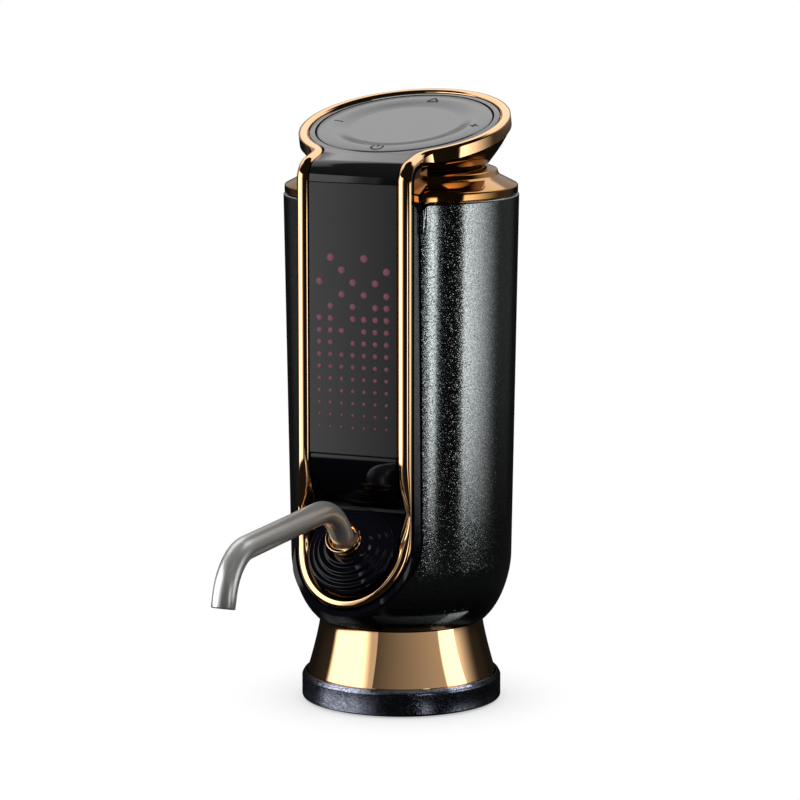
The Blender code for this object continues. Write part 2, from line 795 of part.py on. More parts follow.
def add_base_ring(device):
    floor_top = FOOT_STAND + BASE_FLOOR
    inner_wall = BASE_LIP_RADIUS - BASE_RING_WALL
    groove_top = FOOT_THICKNESS + GAP
    profile = [
        (SOCKET_MOUTH_RADIUS, FOOT_STAND),
        (FOOT_INNER_RADIUS - GAP, FOOT_STAND),
        (FOOT_INNER_RADIUS - GAP, groove_top),
        (FOOT_OUTER_RADIUS + GAP, groove_top),
        (FOOT_OUTER_RADIUS + GAP, FOOT_STAND),
        (BASE_RADIUS - BASE_EDGE, FOOT_STAND),
        (BASE_RADIUS, FOOT_STAND + BASE_EDGE),
        (BASE_RADIUS, BASE_RING_HEIGHT - 2 * BASE_EDGE),
        (BASE_RADIUS - BASE_EDGE / 2, BASE_RING_HEIGHT - BASE_EDGE / 2),
        (BASE_LIP_RADIUS, BASE_RING_HEIGHT),
        (inner_wall, BASE_RING_HEIGHT),
        (inner_wall, floor_top),
        (SOCKET_MOUTH_RADIUS, floor_top),
    ]
    return add_object("base_ring", turned(profile), device, matt_black("base_ring"))


def add_base_flare(device):
    bottom = FOOT_STAND + BASE_FLOOR + GAP
    foot_radius = BASE_LIP_RADIUS - BASE_RING_WALL - GAP
    outer = [(foot_radius, bottom)]
    for step in range(FLARE_POINTS + 1):
        share = step / FLARE_POINTS
        swell = (1 - share) ** FLARE_POWER_SHARE
        height = blend(BASE_RING_HEIGHT, FLARE_TOP, share)
        outer.append((FLARE_TOP_RADIUS + (foot_radius - FLARE_TOP_RADIUS) * swell, height))
    lip_radius = SOCKET_RADIUS + SOCKET_WALL + GAP
    inner = [(lip_radius, FLARE_TOP), (lip_radius, FLARE_TOP - FLARE_WALL)]
    inner.append((FLARE_TOP_RADIUS - FLARE_WALL, FLARE_TOP - FLARE_WALL))
    inner.append((foot_radius - FLARE_WALL, BASE_RING_HEIGHT))
    inner.append((foot_radius - FLARE_WALL, bottom))
    return add_object("base_flare", turned(outer + inner), device, gold_chrome("base_flare"))


# Bottle socket


def screw_holes(piece, places, low, high):
    for index, (x, y) in enumerate(places):
        cut(piece, f"screw_{index + 1}", shifted(rod(SCREW_RADIUS + GAP, low, high), (x, y, 0)))


def port_places():
    """(name, bore radius, y) of the two ways through the bottle seal."""
    return (("wine", WINE_PORT_RADIUS, -PORT_OFFSET), ("air", AIR_PORT_RADIUS, PORT_OFFSET))


def foot_screw_places():
    return ring_places(FOOT_SCREW_PLACE, 3, math.pi / 2)


def add_socket_sleeve(device):
    bottom = FOOT_STAND + BASE_FLOOR + GAP
    top = FLANGE_BASE + FLANGE
    outer = SOCKET_RADIUS + SOCKET_WALL
    profile = [
        (SOCKET_RADIUS, bottom),
        (outer, bottom),
        (outer, FLANGE_BASE),
        (FLANGE_RADIUS, FLANGE_BASE),
        (FLANGE_RADIUS, top),
        (SOCKET_RADIUS, top),
    ]
    piece = add_object("socket_sleeve", turned(profile), device, matt_black("socket_sleeve"))
    screw_holes(piece, foot_screw_places(), FLANGE_BASE - OVERRUN, top + OVERRUN)
    return piece


def add_bottle_seal(device):
    outer = SOCKET_RADIUS - GAP
    top = SEAT_HEIGHT + SEAL_DISC
    skirt_bottom = SEAT_HEIGHT - SEAL_SKIRT
    pitch = SEAL_SKIRT / (SEAL_RIBS + 1)
    profile = [(0, top), (0, SEAT_HEIGHT), (BOTTLE_LIP_RADIUS, SEAT_HEIGHT)]
    for rib in range(1, SEAL_RIBS + 1):
        middle = SEAT_HEIGHT - pitch * rib
        profile.append((BOTTLE_LIP_RADIUS, middle + SEAL_RIB))
        profile.append((BOTTLE_LIP_RADIUS - SEAL_RIB, middle))
        profile.append((BOTTLE_LIP_RADIUS, middle - SEAL_RIB))
    profile += [(BOTTLE_LIP_RADIUS, skirt_bottom), (outer, skirt_bottom), (outer, top)]
    piece = add_object("bottle_seal", turned(profile), device, silicone("bottle_seal"))
    low, high = SEAT_HEIGHT - OVERRUN, top + OVERRUN
    for name, radius, place in port_places():
        cut(piece, name, shifted(rod(radius, low, high), (0, place, 0)))
    return piece


def add_port_manifold(device):
    top = MANIFOLD_BASE + MANIFOLD
    profile = [(0, top), (0, MANIFOLD_BASE), (FLANGE_RADIUS, MANIFOLD_BASE), (FLANGE_RADIUS, top)]
    piece = add_object("port_manifold", turned(profile), device, clear_plastic("port_manifold"))
    for name, radius, place in port_places():
        outer = radius + NIPPLE_WALL
        low, high = top - MANIFOLD / 2, top + NIPPLE
        fuse(piece, f"{name}_nipple", shifted(rod(outer, low, high, SMALL_STEPS), (0, place, 0)))
        low, high = MANIFOLD_BASE - OVERRUN, top + NIPPLE + OVERRUN
        cut(piece, f"{name}_way", shifted(rod(radius, low, high), (0, place, 0)))
    screw_holes(piece, foot_screw_places(), MANIFOLD_BASE - OVERRUN, top + OVERRUN)
    return piece


def add_foot_screws(device):
    top = CHASSIS_BASE + CHASSIS_FOOT + GAP
    for index, (x, y) in enumerate(foot_screw_places()):
        screw(f"socket_screw_{index + 1}", device, (x, y, top), FOOT_SCREW_LENGTH, head_up=True)


# Body


def shell_front_outline():
    """The U opening, rounded outwards at the shell's top edge."""
    points = rim_outline(SLOT_HALF_WIDTH, SHELL_TOP - SHELL_CORNER)
    corner = []
    for step in range(CORNER_STEPS + 1):
        turn = math.pi / 2 * step / CORNER_STEPS
        across = SLOT_HALF_WIDTH + SHELL_CORNER * (1 - math.cos(turn))
        corner.append((across, SHELL_TOP - SHELL_CORNER * (1 - math.sin(turn))))
    corner.append((SLOT_HALF_WIDTH + SHELL_CORNER, SHELL_TOP + OVERRUN))
    right = corner[:0:-1]
    return right + points + [(-across, height) for across, height in corner[1:]]


def add_body_shell(device):
    bowl = [BOWL_TOP - BOWL_DEPTH * math.sin(math.pi / 2 * s / BOWL_POINTS) for s in range(BOWL_POINTS + 1)]
    heights = [SHELL_TOP] + [height for height in bowl if height > SHELL_BASE + OVERRUN / 2]
    floor_top = SHELL_BASE + SHELL_WALL
    profile = [(body_radius(height), height) for height in heights + [SHELL_BASE]]
    profile += [(SHELL_FLOOR_HOLE, SHELL_BASE), (SHELL_FLOOR_HOLE, floor_top)]
    for height in [floor_top] + [height for height in heights[::-1] if height > floor_top + OVERRUN / 2]:
        share = max(0.0, (BOWL_TOP - height) / BOWL_DEPTH)
        profile.append((body_radius(height) - SHELL_WALL * (1 + BOWL_WALL_SHARE * share), height))
    piece = add_object("body_shell", turned(profile), device, sparkle_paint("body_shell"))
    cut(piece, "front", prism(shell_front_outline(), -FAR, -CHASSIS_FOOT_INNER, "y"))
    cut(piece, "port", port_prism(GAP, MAIN_BOARD_FRONT, FAR))
    return piece


def add_chassis(device):
    foot_radius = FLANGE_RADIUS
    foot_top = CHASSIS_BASE + CHASSIS_FOOT
    foot = turned(box_outline(CHASSIS_FOOT_INNER, foot_radius, CHASSIS_BASE, foot_top))
    piece = add_object("chassis", foot, device, matt_black("chassis"))
    plate_y = (CHASSIS_PLATE_FRONT, CHASSIS_PLATE_BACK)
    half = CHASSIS_HALF_WIDTH
    ring_base = CHASSIS_RING_TOP - CHASSIS_RING
    overlap = CHASSIS_FOOT / 2
    fuse(piece, "plate", box((-half, half), plate_y, (foot_top - overlap, ring_base + overlap)))
    ring = turned(box_outline(CHASSIS_RING_INNER, CHASSIS_RING_RADIUS, ring_base, CHASSIS_RING_TOP))
    fuse(piece, "ring", ring)
    back = MAIN_BOARD_FRONT - GAP
    levels = (CELL_BOTTOM - GAP - CONTACT_THICKNESS - GAP - SHELF, cell_top() + GAP + CONTACT_THICKNESS + GAP)
    for name, level in zip(("lower_shelf", "upper_shelf"), levels):
        reach = (CHASSIS_PLATE_BACK - CHASSIS_PLATE / 2, back)
        fuse(piece, name, box((-SHELF_HALF_WIDTH, SHELF_HALF_WIDTH), reach, (level, level + SHELF)))
    through = (plate_y[0] - OVERRUN, plate_y[1] + OVERRUN)
    arch = CHASSIS_ARCH_HALF_WIDTH
    cut(piece, "arch", box((-arch, arch), through, (foot_top - FLANGE, CHASSIS_ARCH_TOP)))
    slot = (CABLE_SLOT_PLACE - CABLE_SLOT_HALF_WIDTH, CABLE_SLOT_PLACE + CABLE_SLOT_HALF_WIDTH)
    middle = display_flex_height()
    slot_z = (middle - FLEX_HALF_WIDTH - 2 * GAP, middle + FLEX_HALF_WIDTH + 2 * GAP)
    cut(piece, "cable", box(slot, through, slot_z))
    cut(piece, "front", front_slot_cutter(CHASSIS_BASE - OVERRUN, SHELL_TOP + OVERRUN))
    screw_holes(piece, foot_screw_places(), CHASSIS_BASE - OVERRUN, foot_top + OVERRUN)
    screw_holes(piece, collar_screw_places(), ring_base - OVERRUN, CHASSIS_RING_TOP + OVERRUN)
    return piece


# Front housing


def face_cut_outline():
    """(back to front, height) outline of what is cut from the housing, seen from the side."""
    points = [(-WINDOW_DEPTH + GAP, WINDOW_BOTTOM - GAP)]
    under = -PLATE_THICKNESS - GAP
    for step in range(TRIM_ARC_STEPS + 1):
        spot = face_point(0, bend_start() + bend_length() * (1 - step / TRIM_ARC_STEPS), under)
        points.append((spot.y, spot.z))
    back = face_point(0, HOUSING_BACK / 2, under)
    points.append((back.y, back.z))
    points += [(back.y, HEAD_HEIGHT + FAR), (-FAR, HEAD_HEIGHT + FAR), (-FAR, 0)]
    low = RIM_CENTRE - FACE_HALF_WIDTH - OVERRUN
    points.append((-hub_floor_depth(low), low))
    for step in range(NICHE_STEPS + 1):
        depth, height = niche_curve(1 - step / NICHE_STEPS)
        points.append((-depth, height))
    points.append((-FACE_DEPTH, WINDOW_BOTTOM - GAP))
    return points


def add_front_housing(device, head, spout):
    top = HEAD_HEIGHT + OVERRUN
    depths = ((HOUSING_BACK, 0.0), (FACE_DEPTH - LIP_BACK_DROP, 0.0), (FACE_DEPTH + LIP_PROUD, LIP_WIDTH))
    depths += ((BLANK_REACH, LIP_WIDTH),)
    rings = []
    for depth, lip in depths:
        rings.append([Vector((x, -depth, z)) for x, z in rim_outline(HOUSING_HALF_WIDTH, top, lip)])
    blank = rings_to_mesh(rings, closed=False)
    piece = add_object("front_housing", blank, device, gloss_black("front_housing"))
    half = HOUSING_HALF_WIDTH - HOUSING_WALL
    front = WINDOW_DEPTH - GAP - FRONT_WALL
    pocket = box((-half, half), (-front, 0), (NICHE_TOP + HOUSING_WALL, WINDOW_TOP + GAP))
    cut(piece, "pocket", pocket)
    frame = FACE_HALF_WIDTH - WINDOW_FRAME
    levels = (WINDOW_BOTTOM + WINDOW_FRAME, WINDOW_TOP - WINDOW_FRAME)
    cut(piece, "window", box((-frame, frame), (-FAR, -HOUSING_BACK), levels))
    bore = rod(CHAMBER_RADIUS + GAP, -FAR, OVERRUN, SMALL_STEPS)
    shape_with(piece, "DIFFERENCE", add_helper("front_housing_spout_cutter", bore, spout))
    side = LIP_SIDE_SHARE
    profile = [(-1, FAR), (-1, None), (1, None), (1, -LIP_DROP), (side, -LIP_DROP), (side, FAR)]
    seat = trim_loft(profile, 2 * GAP, SEAT_CLEARANCE)
    shape_with(piece, "DIFFERENCE", add_helper("front_housing_seat_cutter", seat, device))
    face = prism(rim_outline(FACE_HALF_WIDTH + GAP, top + OVERRUN), -FAR - OVERRUN, -HOUSING_BACK / 2, "y")
    cutter = add_helper("front_housing_face_cutter", face, device)
    side = prism(face_cut_outline(), -FAR, FAR, "x")
    shape_with(cutter, "INTERSECT", add_helper("front_housing_face_side", side, device))
    shape_with(piece, "DIFFERENCE", cutter)
    width = (-FAR, FAR)
    clear = -PLATE_THICKNESS - GASKET_THICKNESS - 2 * GAP
    above = box(width, (OVERRUN - bend_start(), FAR), (clear, FAR))
    shape_with(piece, "DIFFERENCE", add_helper("front_housing_head_cutter", above, head))
    return piece


def add_display_window(device):
    half = FACE_HALF_WIDTH
    shape = box((-half, half), (-FACE_DEPTH, -WINDOW_DEPTH), (WINDOW_BOTTOM, WINDOW_TOP - 2 * GAP))
    return add_object("display_window", shape, device, smoked_acrylic("display_window"))


def add_display_stack(device):
    half = HOUSING_HALF_WIDTH - HOUSING_WALL - GAP
    height = (NICHE_TOP + HOUSING_WALL + GAP, WINDOW_TOP)
    front = WINDOW_DEPTH - GAP - FRONT_WALL - GAP
    back = front - GUIDE_THICKNESS
    guide = box((-half, half), (-front, -back), height)
    add_object("light_guide", guide, device, clear_plastic("light_guide"))
    front = back - GAP
    back = front - BOARD_THICKNESS
    board = box((-half, half), (-front, -back), height)
    add_object("display_board", board, device, green_board("display_board"))


def add_trim_frame(device):
    crest = [(-TRIM_CREST_SHARE, TRIM_CREST), (TRIM_CREST_SHARE, TRIM_CREST)]
    profile = [(-1, None), (-1, 0)] + crest + [(1, 0), (1, None)]
    return add_object("trim_frame", trim_loft(profile, 0, 0), device, gold_chrome("trim_frame"))


# Head


def collar_screw_places():
    return ring_places(COLLAR_SCREW_PLACE, 3, math.pi / 2)


def add_top_collar(device):
    rim = BODY_RADIUS - GAP
    profile = [
        (COLLAR_BORE, COLLAR_BASE),
        (rim - SHELL_WALL - COLLAR_SPIGOT_WALL, COLLAR_BASE),
        (rim - SHELL_WALL - COLLAR_SPIGOT_WALL, COLLAR_BASE - COLLAR_SPIGOT),
        (rim - SHELL_WALL, COLLAR_BASE - COLLAR_SPIGOT),
        (rim - SHELL_WALL, COLLAR_BASE),
        (rim, COLLAR_BASE),
        (rim, COLLAR_BASE + COLLAR_BAND),
    ]
    for inward, upward in COLLAR_RISE_SHARES:
        radius = blend(rim, COLLAR_STEP_RADIUS, inward)
        profile.append((radius, blend(COLLAR_BASE, COLLAR_TOP, upward)))
    inward, upward = COLLAR_CROWN_SHARES
    radius = blend(COLLAR_STEP_RADIUS, COLLAR_TOP_RADIUS, inward)
    profile.append((radius, blend(COLLAR_BASE, COLLAR_TOP, upward)))
    profile += [(COLLAR_TOP_RADIUS, COLLAR_TOP), (COLLAR_BORE, COLLAR_TOP)]
    piece = add_object("top_collar", turned(profile), device, gold_chrome("top_collar"))
    cut(piece, "front", front_slot_cutter(COLLAR_BASE - COLLAR_SPIGOT - OVERRUN, COLLAR_TOP + OVERRUN))
    reach = COLLAR_SCREW_LENGTH - CHASSIS_RING
    screw_holes(piece, collar_screw_places(), COLLAR_BASE - OVERRUN, COLLAR_BASE + reach + GAP)
    return piece


def add_collar_screws(device):
    bottom = CHASSIS_RING_TOP - CHASSIS_RING - GAP
    for index, (x, y) in enumerate(collar_screw_places()):
        screw(f"collar_screw_{index + 1}", device, (x, y, bottom), COLLAR_SCREW_LENGTH, head_up=False)


def add_neck_ring(device):
    outer = COLLAR_BORE - GAP
    top = BOWL_BASE - GAP
    profile = box_outline(outer - NECK_WALL, outer, CHASSIS_RING_TOP + GAP, top)
    return add_object("neck_ring", turned(profile), device, matt_black("neck_ring"))


def switch_board_bottom():
    return SWITCH_BOARD_TOP + BOARD_THICKNESS


def add_head_bowl(device, head):
    rings = [[Vector((0, 0, BOWL_BASE))], level_circle(COLLAR_TOP_RADIUS, BOWL_BASE)]
    rings += [head_circle(BOWL_RIM_RADIUS, BOWL_RIM_DROP)]
    rings += [[head_point(0, 0, -BOWL_RIM_DROP)]]
    piece = add_object("head_bowl", rings_to_mesh(rings, closed=False), device, gold_chrome("head_bowl"))
    drop = BOWL_RIM_DROP + BOWL_RIM_THICKNESS
    floor = COLLAR_TOP_RADIUS - BOWL_WALL
    hollow = [[Vector((0, 0, BOWL_BASE - OVERRUN))], level_circle(floor, BOWL_BASE - OVERRUN)]
    hollow += [level_circle(floor, BOWL_BASE + BOWL_WALL / 2), head_circle(BOWL_RIM_INNER, drop)]
    hollow += [head_circle(BOWL_RIM_INNER, -OVERRUN), [head_point(0, 0, OVERRUN)]]
    cut(piece, "hollow", rings_to_mesh(hollow, closed=False))
    for index, side in enumerate((-1, 1)):
        top = -switch_board_bottom() - GAP
        low = top - SWITCH_HEIGHT * 2
        place = (side * BOARD_BOSS_PLACE, 0, 0)
        boss = shifted(rod(BOARD_BOSS_RADIUS, low, top, SMALL_STEPS), place)
        shape_with(piece, "UNION", add_helper(f"head_bowl_boss_{index + 1}_shape", boss, head))
        hole = shifted(rod(SCREW_RADIUS + GAP, (low + top) / 2, OVERRUN), place)
        shape_with(piece, "DIFFERENCE", add_helper(f"head_bowl_screw_{index + 1}_cutter", hole, head))
    cut(piece, "front", front_slot_cutter(BOWL_BASE - OVERRUN, HEAD_HEIGHT + OVERRUN))
    return piece


def head_point(x, y, z):
    """A point of the head's own frame, in the device's frame."""
    return Vector((0, HEAD_SETBACK, HEAD_HEIGHT)) + Matrix.Rotation(HEAD_TILT, 3, "X") @ Vector((x, y, z))


def plate_half_width(along):
    """Half the head plate's width at a distance along the face."""
    reach = PLATE_RADIUS + TRIM_FILLET
    across = FACE_HALF_WIDTH + TRIM_FILLET
    fillet_along = math.sqrt(reach**2 - across**2)
    touch = fillet_along * PLATE_RADIUS / reach
    if along < touch:
        return math.sqrt(max(PLATE_RADIUS**2 - along**2, 0))
    if along < fillet_along:
        return across - math.sqrt(TRIM_FILLET**2 - (fillet_along - along) ** 2)
    return FACE_HALF_WIDTH


def add_top_plate(device, head):
    turns = [math.pi * (s + PLATE_TURN_SHARE) / (2 * TRIM_DISC_STEPS) for s in range(2 * TRIM_DISC_STEPS)]
    stations = [-PLATE_RADIUS * math.cos(turn) for turn in turns]
    stations = [along for along in stations if along < bend_start() - OVERRUN]
    stations += [bend_start() - FACE_BEND_RADIUS * share for share in BEND_LEAD_SHARES]
    stations += [bend_start() + bend_length() * s / TRIM_ARC_STEPS for s in range(TRIM_ARC_STEPS + 1)]
    stations = sorted(along for along in stations if along < bend_start() + bend_length() + GAP)
    rings = []
    for along in stations:
        half = plate_half_width(along)
        corners = ((-half, -PLATE_THICKNESS), (half, -PLATE_THICKNESS), (half, 0), (-half, 0))
        rings.append([face_point(across, along, proud) for across, proud in corners])
    piece = add_object("top_plate", rings_to_mesh(rings, closed=False), device, gloss_black("top_plate"))
    radius = PAD_RADIUS + PAD_GAP
    hole = rod(radius, -PLATE_THICKNESS - OVERRUN, OVERRUN, TURN_STEPS)
    shape_with(piece, "DIFFERENCE", add_helper("top_plate_pad_cutter", hole, head))
    return piece


def add_pad_gasket(head):
    inner = PAD_RADIUS + PAD_GAP + GAP
    top = -PLATE_THICKNESS - GAP
    profile = box_outline(inner, inner + GASKET_WIDTH, top - GASKET_THICKNESS, top)
    return add_object("pad_gasket", turned(profile), head, silicone("pad_gasket"))


def ear(axis, side, low, high):
    """An upright ear with a pin hole beside the gimbal, on the axis named."""
    start = side * GIMBAL_EAR_START
    end = side * (GIMBAL_EAR_START + GIMBAL_EAR_THICKNESS)
    reach = (min(start, end), max(start, end))
    width = (-GIMBAL_EAR_HALF_WIDTH, GIMBAL_EAR_HALF_WIDTH)
    return box(reach, width, (low, high)) if axis == "X" else box(width, reach, (low, high))


def pin_rod(axis, reach, radius):
    """A rod through the gimbal's centre along X or Y."""
    return rotated(rod(radius, -reach, reach), math.pi / 2, "Y" if axis == "X" else "X")


def gimbal_reach():
    return GIMBAL_EAR_START + GIMBAL_EAR_THICKNESS


def add_control_pad(head):
    under = -PAD_DISH - PAD_THICKNESS
    edge = PAD_RADIUS
    slope = (PAD_DISH_RADIUS + PAD_CREST_RADIUS) / 2
    outward, upward = PAD_SHOULDER_SHARES
    profile = [
        (0, under),
        (edge - PAD_EDGE, under),
        (edge, under + PAD_EDGE),
        (edge, -PAD_EDGE),
        (edge - PAD_EDGE, 0),
        (blend(PAD_CREST_RADIUS, edge, outward), PAD_CREST * upward),
        (PAD_CREST_RADIUS, PAD_CREST),
        (slope, blend(-PAD_DISH, PAD_CREST, PAD_SLOPE_SHARE)),
        (PAD_DISH_RADIUS, -PAD_DISH),
        (0, -PAD_DISH),
    ]
    shape = shifted(turned(profile), (0, 0, GIMBAL_DROP))
    piece = add_object("control_pad", shape, head, gloss_black("control_pad"))
    piece.location = (0, 0, -GIMBAL_DROP)
    high = GIMBAL_DROP + under + PAD_THICKNESS / 2
    for index, side in enumerate((-1, 1)):
        fuse(piece, f"ear_{index + 1}", ear("Y", side, -GIMBAL_EAR_HALF_WIDTH, high))
    cut(piece, "pin", pin_rod("Y", gimbal_reach() + OVERRUN, GIMBAL_PIN_RADIUS + GAP))
    return piece


def add_pad_gimbal(head):
    half = GIMBAL_THICKNESS / 2
    disc = turned([(0, -half), (GIMBAL_RADIUS, -half), (GIMBAL_RADIUS, half), (0, half)], SMALL_STEPS)
    piece = add_object("pad_gimbal", disc, head, steel("pad_gimbal"))
    piece.location = (0, 0, -GIMBAL_DROP)
    for axis in ("X", "Y"):
        fuse(piece, f"pin_{axis.lower()}", pin_rod(axis, gimbal_reach(), GIMBAL_PIN_RADIUS))
    bore = rod(GIMBAL_RADIUS - GIMBAL_WALL, -GIMBAL_THICKNESS, GIMBAL_THICKNESS, SMALL_STEPS)
    cut(piece, "bore", bore)
    return piece


def add_pad_post(head):
    outer = BOARD_WINDOW_RADIUS + POST_RIM_WALL
    floor = -POST_DEPTH + POST_FLOOR
    rim_top = -switch_board_bottom() - GAP
    profile = [(0, -POST_DEPTH), (outer, -POST_DEPTH), (outer, rim_top), (BOARD_WINDOW_RADIUS, rim_top)]
    profile += [(BOARD_WINDOW_RADIUS, floor), (0, floor)]
    shape = shifted(turned(profile, MIDDLE_STEPS), (0, 0, GIMBAL_DROP))
    piece = add_object("pad_post", shape, head, steel("pad_post"))
    piece.location = (0, 0, -GIMBAL_DROP)
    low = GIMBAL_DROP + floor - POST_FLOOR / 2
    for index, side in enumerate((-1, 1)):
        fuse(piece, f"ear_{index + 1}", ear("X", side, low, GIMBAL_EAR_HALF_WIDTH))
    cut(piece, "pin", pin_rod("X", gimbal_reach() + GAP, GIMBAL_PIN_RADIUS + GAP))
    return piece


def add_switch_board(head):
    top, bottom = -SWITCH_BOARD_TOP, -switch_board_bottom()
    disc = turned([(0, bottom), (SWITCH_BOARD_RADIUS, bottom), (SWITCH_BOARD_RADIUS, top), (0, top)])
    piece = add_object("switch_board", disc, head, green_board("switch_board"))
    for index, side in enumerate((-1, 1)):
        inner = side * (SWITCH_BOARD_RADIUS - BOARD_THICKNESS)
        outer = side * SWITCH_BOARD_EAR
        limits = (min(inner, outer), max(inner, outer))
        fuse(piece, f"ear_{index + 1}", box(limits, (-EAR_HALF_WIDTH, EAR_HALF_WIDTH), (bottom, top)))
    low, high = bottom - OVERRUN, top + OVERRUN
    radius = BOARD_WINDOW_RADIUS - POST_RIM_WALL / 2
    cut(piece, "window", rod(radius, low, high, SMALL_STEPS))
    places = [(-BOARD_BOSS_PLACE, 0), (BOARD_BOSS_PLACE, 0)]
    screw_holes(piece, places, low, high)
    return piece


def add_board_screws(head):
    for index, side in enumerate((-1, 1)):
        place = (side * BOARD_BOSS_PLACE, 0, -SWITCH_BOARD_TOP + GAP)
        length = BOARD_THICKNESS + GAP + SWITCH_HEIGHT / 2
        screw(f"board_screw_{index + 1}", head, place, length, head_up=True)


def add_tact_switches(head):
    low = -SWITCH_BOARD_TOP + GAP
    for name, (x, y) in zip(("right", "back", "left", "front"), ring_places(SWITCH_RADIUS, 4, 0)):
        half = SWITCH_HALF_SIDE
        case = box((-half, half), (-half, half), (low, low + SWITCH_HEIGHT))
        piece = add_object(f"tact_switch_{name}", case, head, steel(f"tact_switch_{name}"))
        piece.location = (x, y, 0)
        top = low + SWITCH_HEIGHT + PLUNGER_HEIGHT
        fuse(piece, "plunger", rod(PLUNGER_RADIUS, low + SWITCH_HEIGHT / 2, top))


# Spout


def add_spout_hub(spout):
    profile = [(HUB_BORE, 0)]
    level = 0.0
    for index, share in enumerate(HUB_RADIUS_SHARES):
        radius = HUB_RADIUS * share
        last = index == len(HUB_RADIUS_SHARES) - 1
        profile.append((radius, level))
        level = HUB_NOSE if last else level + HUB_STEP
        profile.append((radius, level))
    neck = SPOUT_RADIUS + GAP
    profile += [(neck, HUB_NOSE), (neck, HUB_NOSE - HUB_CAP), (HUB_BORE, HUB_NOSE - HUB_CAP)]
    return add_object("spout_hub", turned(profile), spout, gloss_black("spout_hub"))


def seat_ring_base():
    return HUB_NOSE + GAP


def collar_nut_base():
    return seat_ring_base() + SEAT_RING + GAP


def add_spout_rings(spout, swivel):
    neck = SPOUT_RADIUS + GAP
    low = seat_ring_base()
    profile = [(neck, low), (SEAT_RING_RADIUS - GAP, low), (SEAT_RING_RADIUS, low + SEAT_RING / 2)]
    profile += [(SEAT_RING_RADIUS - GAP, low + SEAT_RING), (neck, low + SEAT_RING)]
    add_object("spout_seat_ring", turned(profile, MIDDLE_STEPS), spout, gold_chrome("spout_seat_ring"))
    neck = SPOUT_RADIUS + 2 * GAP
    low = collar_nut_base()
    middle = low + COLLAR_NUT
    profile = [(neck, low), (SEAT_RING_RADIUS, low), (SEAT_RING_RADIUS, middle), (COLLAR_LIP_RADIUS, middle)]
    profile += [(COLLAR_LIP_RADIUS, middle + COLLAR_LIP), (neck, middle + COLLAR_LIP)]
    add_object("spout_collar", turned(profile, MIDDLE_STEPS), swivel, gold_chrome("spout_collar"))
    low = HUB_NOSE - HUB_CAP - GAP - ORING_THICKNESS
    profile = box_outline(neck, HUB_BORE - GAP, low, low + ORING_THICKNESS)
    add_object("spout_oring", turned(profile, MIDDLE_STEPS), spout, silicone("spout_oring"))


def to_spout(depth, height):
    """A point of the plane of symmetry in the spout's own frame, whose Z is the spout's axis."""
    forward, up = depth - HUB_DEPTH, height - HUB_HEIGHT
    along = forward * math.cos(SPOUT_ANGLE) + up * math.sin(SPOUT_ANGLE)
    beside = forward * math.sin(SPOUT_ANGLE) - up * math.cos(SPOUT_ANGLE)
    return Vector((0, -beside, along))


def spout_route():
    """The spout's centre line, from inside the hub to the tip."""
    corners = [Vector((0, 0, GAP)), Vector((0, 0, SPOUT_NECK))]
    corners.append(to_spout(SPOUT_KNEE_REACH, SPOUT_KNEE_HEIGHT))
    corners.append(to_spout(SPOUT_ELBOW_REACH, SPOUT_ELBOW_HEIGHT))
    corners.append(to_spout(SPOUT_TIP_REACH, SPOUT_TIP_HEIGHT))
    return rounded_route(corners, (SPOUT_NECK_BEND, SPOUT_KNEE_BEND, SPOUT_ELBOW_BEND))


def add_spout_tube(swivel):
    shape = pipe(spout_route(), SPOUT_RADIUS, SPOUT_BORE, SPOUT_SIDES)
    return add_object("spout_tube", shape, swivel, steel("spout_tube"))


def add_mixing_chamber(spout):
    top, bottom = -GAP, -GAP - CHAMBER_LENGTH
    profile = [(CHAMBER_BORE, bottom), (CHAMBER_RADIUS, bottom), (CHAMBER_RADIUS, top), (CHAMBER_BORE, top)]
    return add_object("mixing_chamber", turned(profile, SMALL_STEPS), spout, clear_plastic("mixing_chamber"))


# Drive


def can(radius, low, high, edge, steps=MIDDLE_STEPS):
    """A cylinder with bevelled rims."""
    profile = [(0, low), (radius - edge, low), (radius, low + edge), (radius, high - edge)]
    return turned(profile + [(radius - edge, high), (0, high)], steps)


def add_pump_motor(device):
    top = MOTOR_BOTTOM + MOTOR_LENGTH
    case = can(MOTOR_RADIUS, MOTOR_BOTTOM, top, MOTOR_EDGE)
    piece = add_object("pump_motor", case, device, steel("pump_motor"))
    piece.location = (0, MOTOR_CENTRE, 0)
    fuse(piece, "boss", rod(MOTOR_BOSS_RADIUS, top - MOTOR_BOSS, top + MOTOR_BOSS, SMALL_STEPS))
    cut(piece, "shaft", rod(SHAFT_RADIUS + GAP, MOTOR_BOTTOM - OVERRUN, MOTOR_BOTTOM + SHAFT_DEPTH))
    return piece


def add_motor_shaft(device):
    low = MOTOR_BOTTOM - ECCENTRIC_DROP
    high = MOTOR_BOTTOM + SHAFT_DEPTH - GAP
    shaft = rod(SHAFT_RADIUS, low - ECCENTRIC_THICKNESS / 2, high)
    piece = add_object("motor_shaft", shaft, device, steel("motor_shaft"))
    piece.location = (0, MOTOR_CENTRE, 0)
    cam = rod(ECCENTRIC_RADIUS, low - ECCENTRIC_THICKNESS, low, SMALL_STEPS)
    fuse(piece, "eccentric", shifted(cam, (ECCENTRIC_OFFSET, 0, 0)))
    return piece


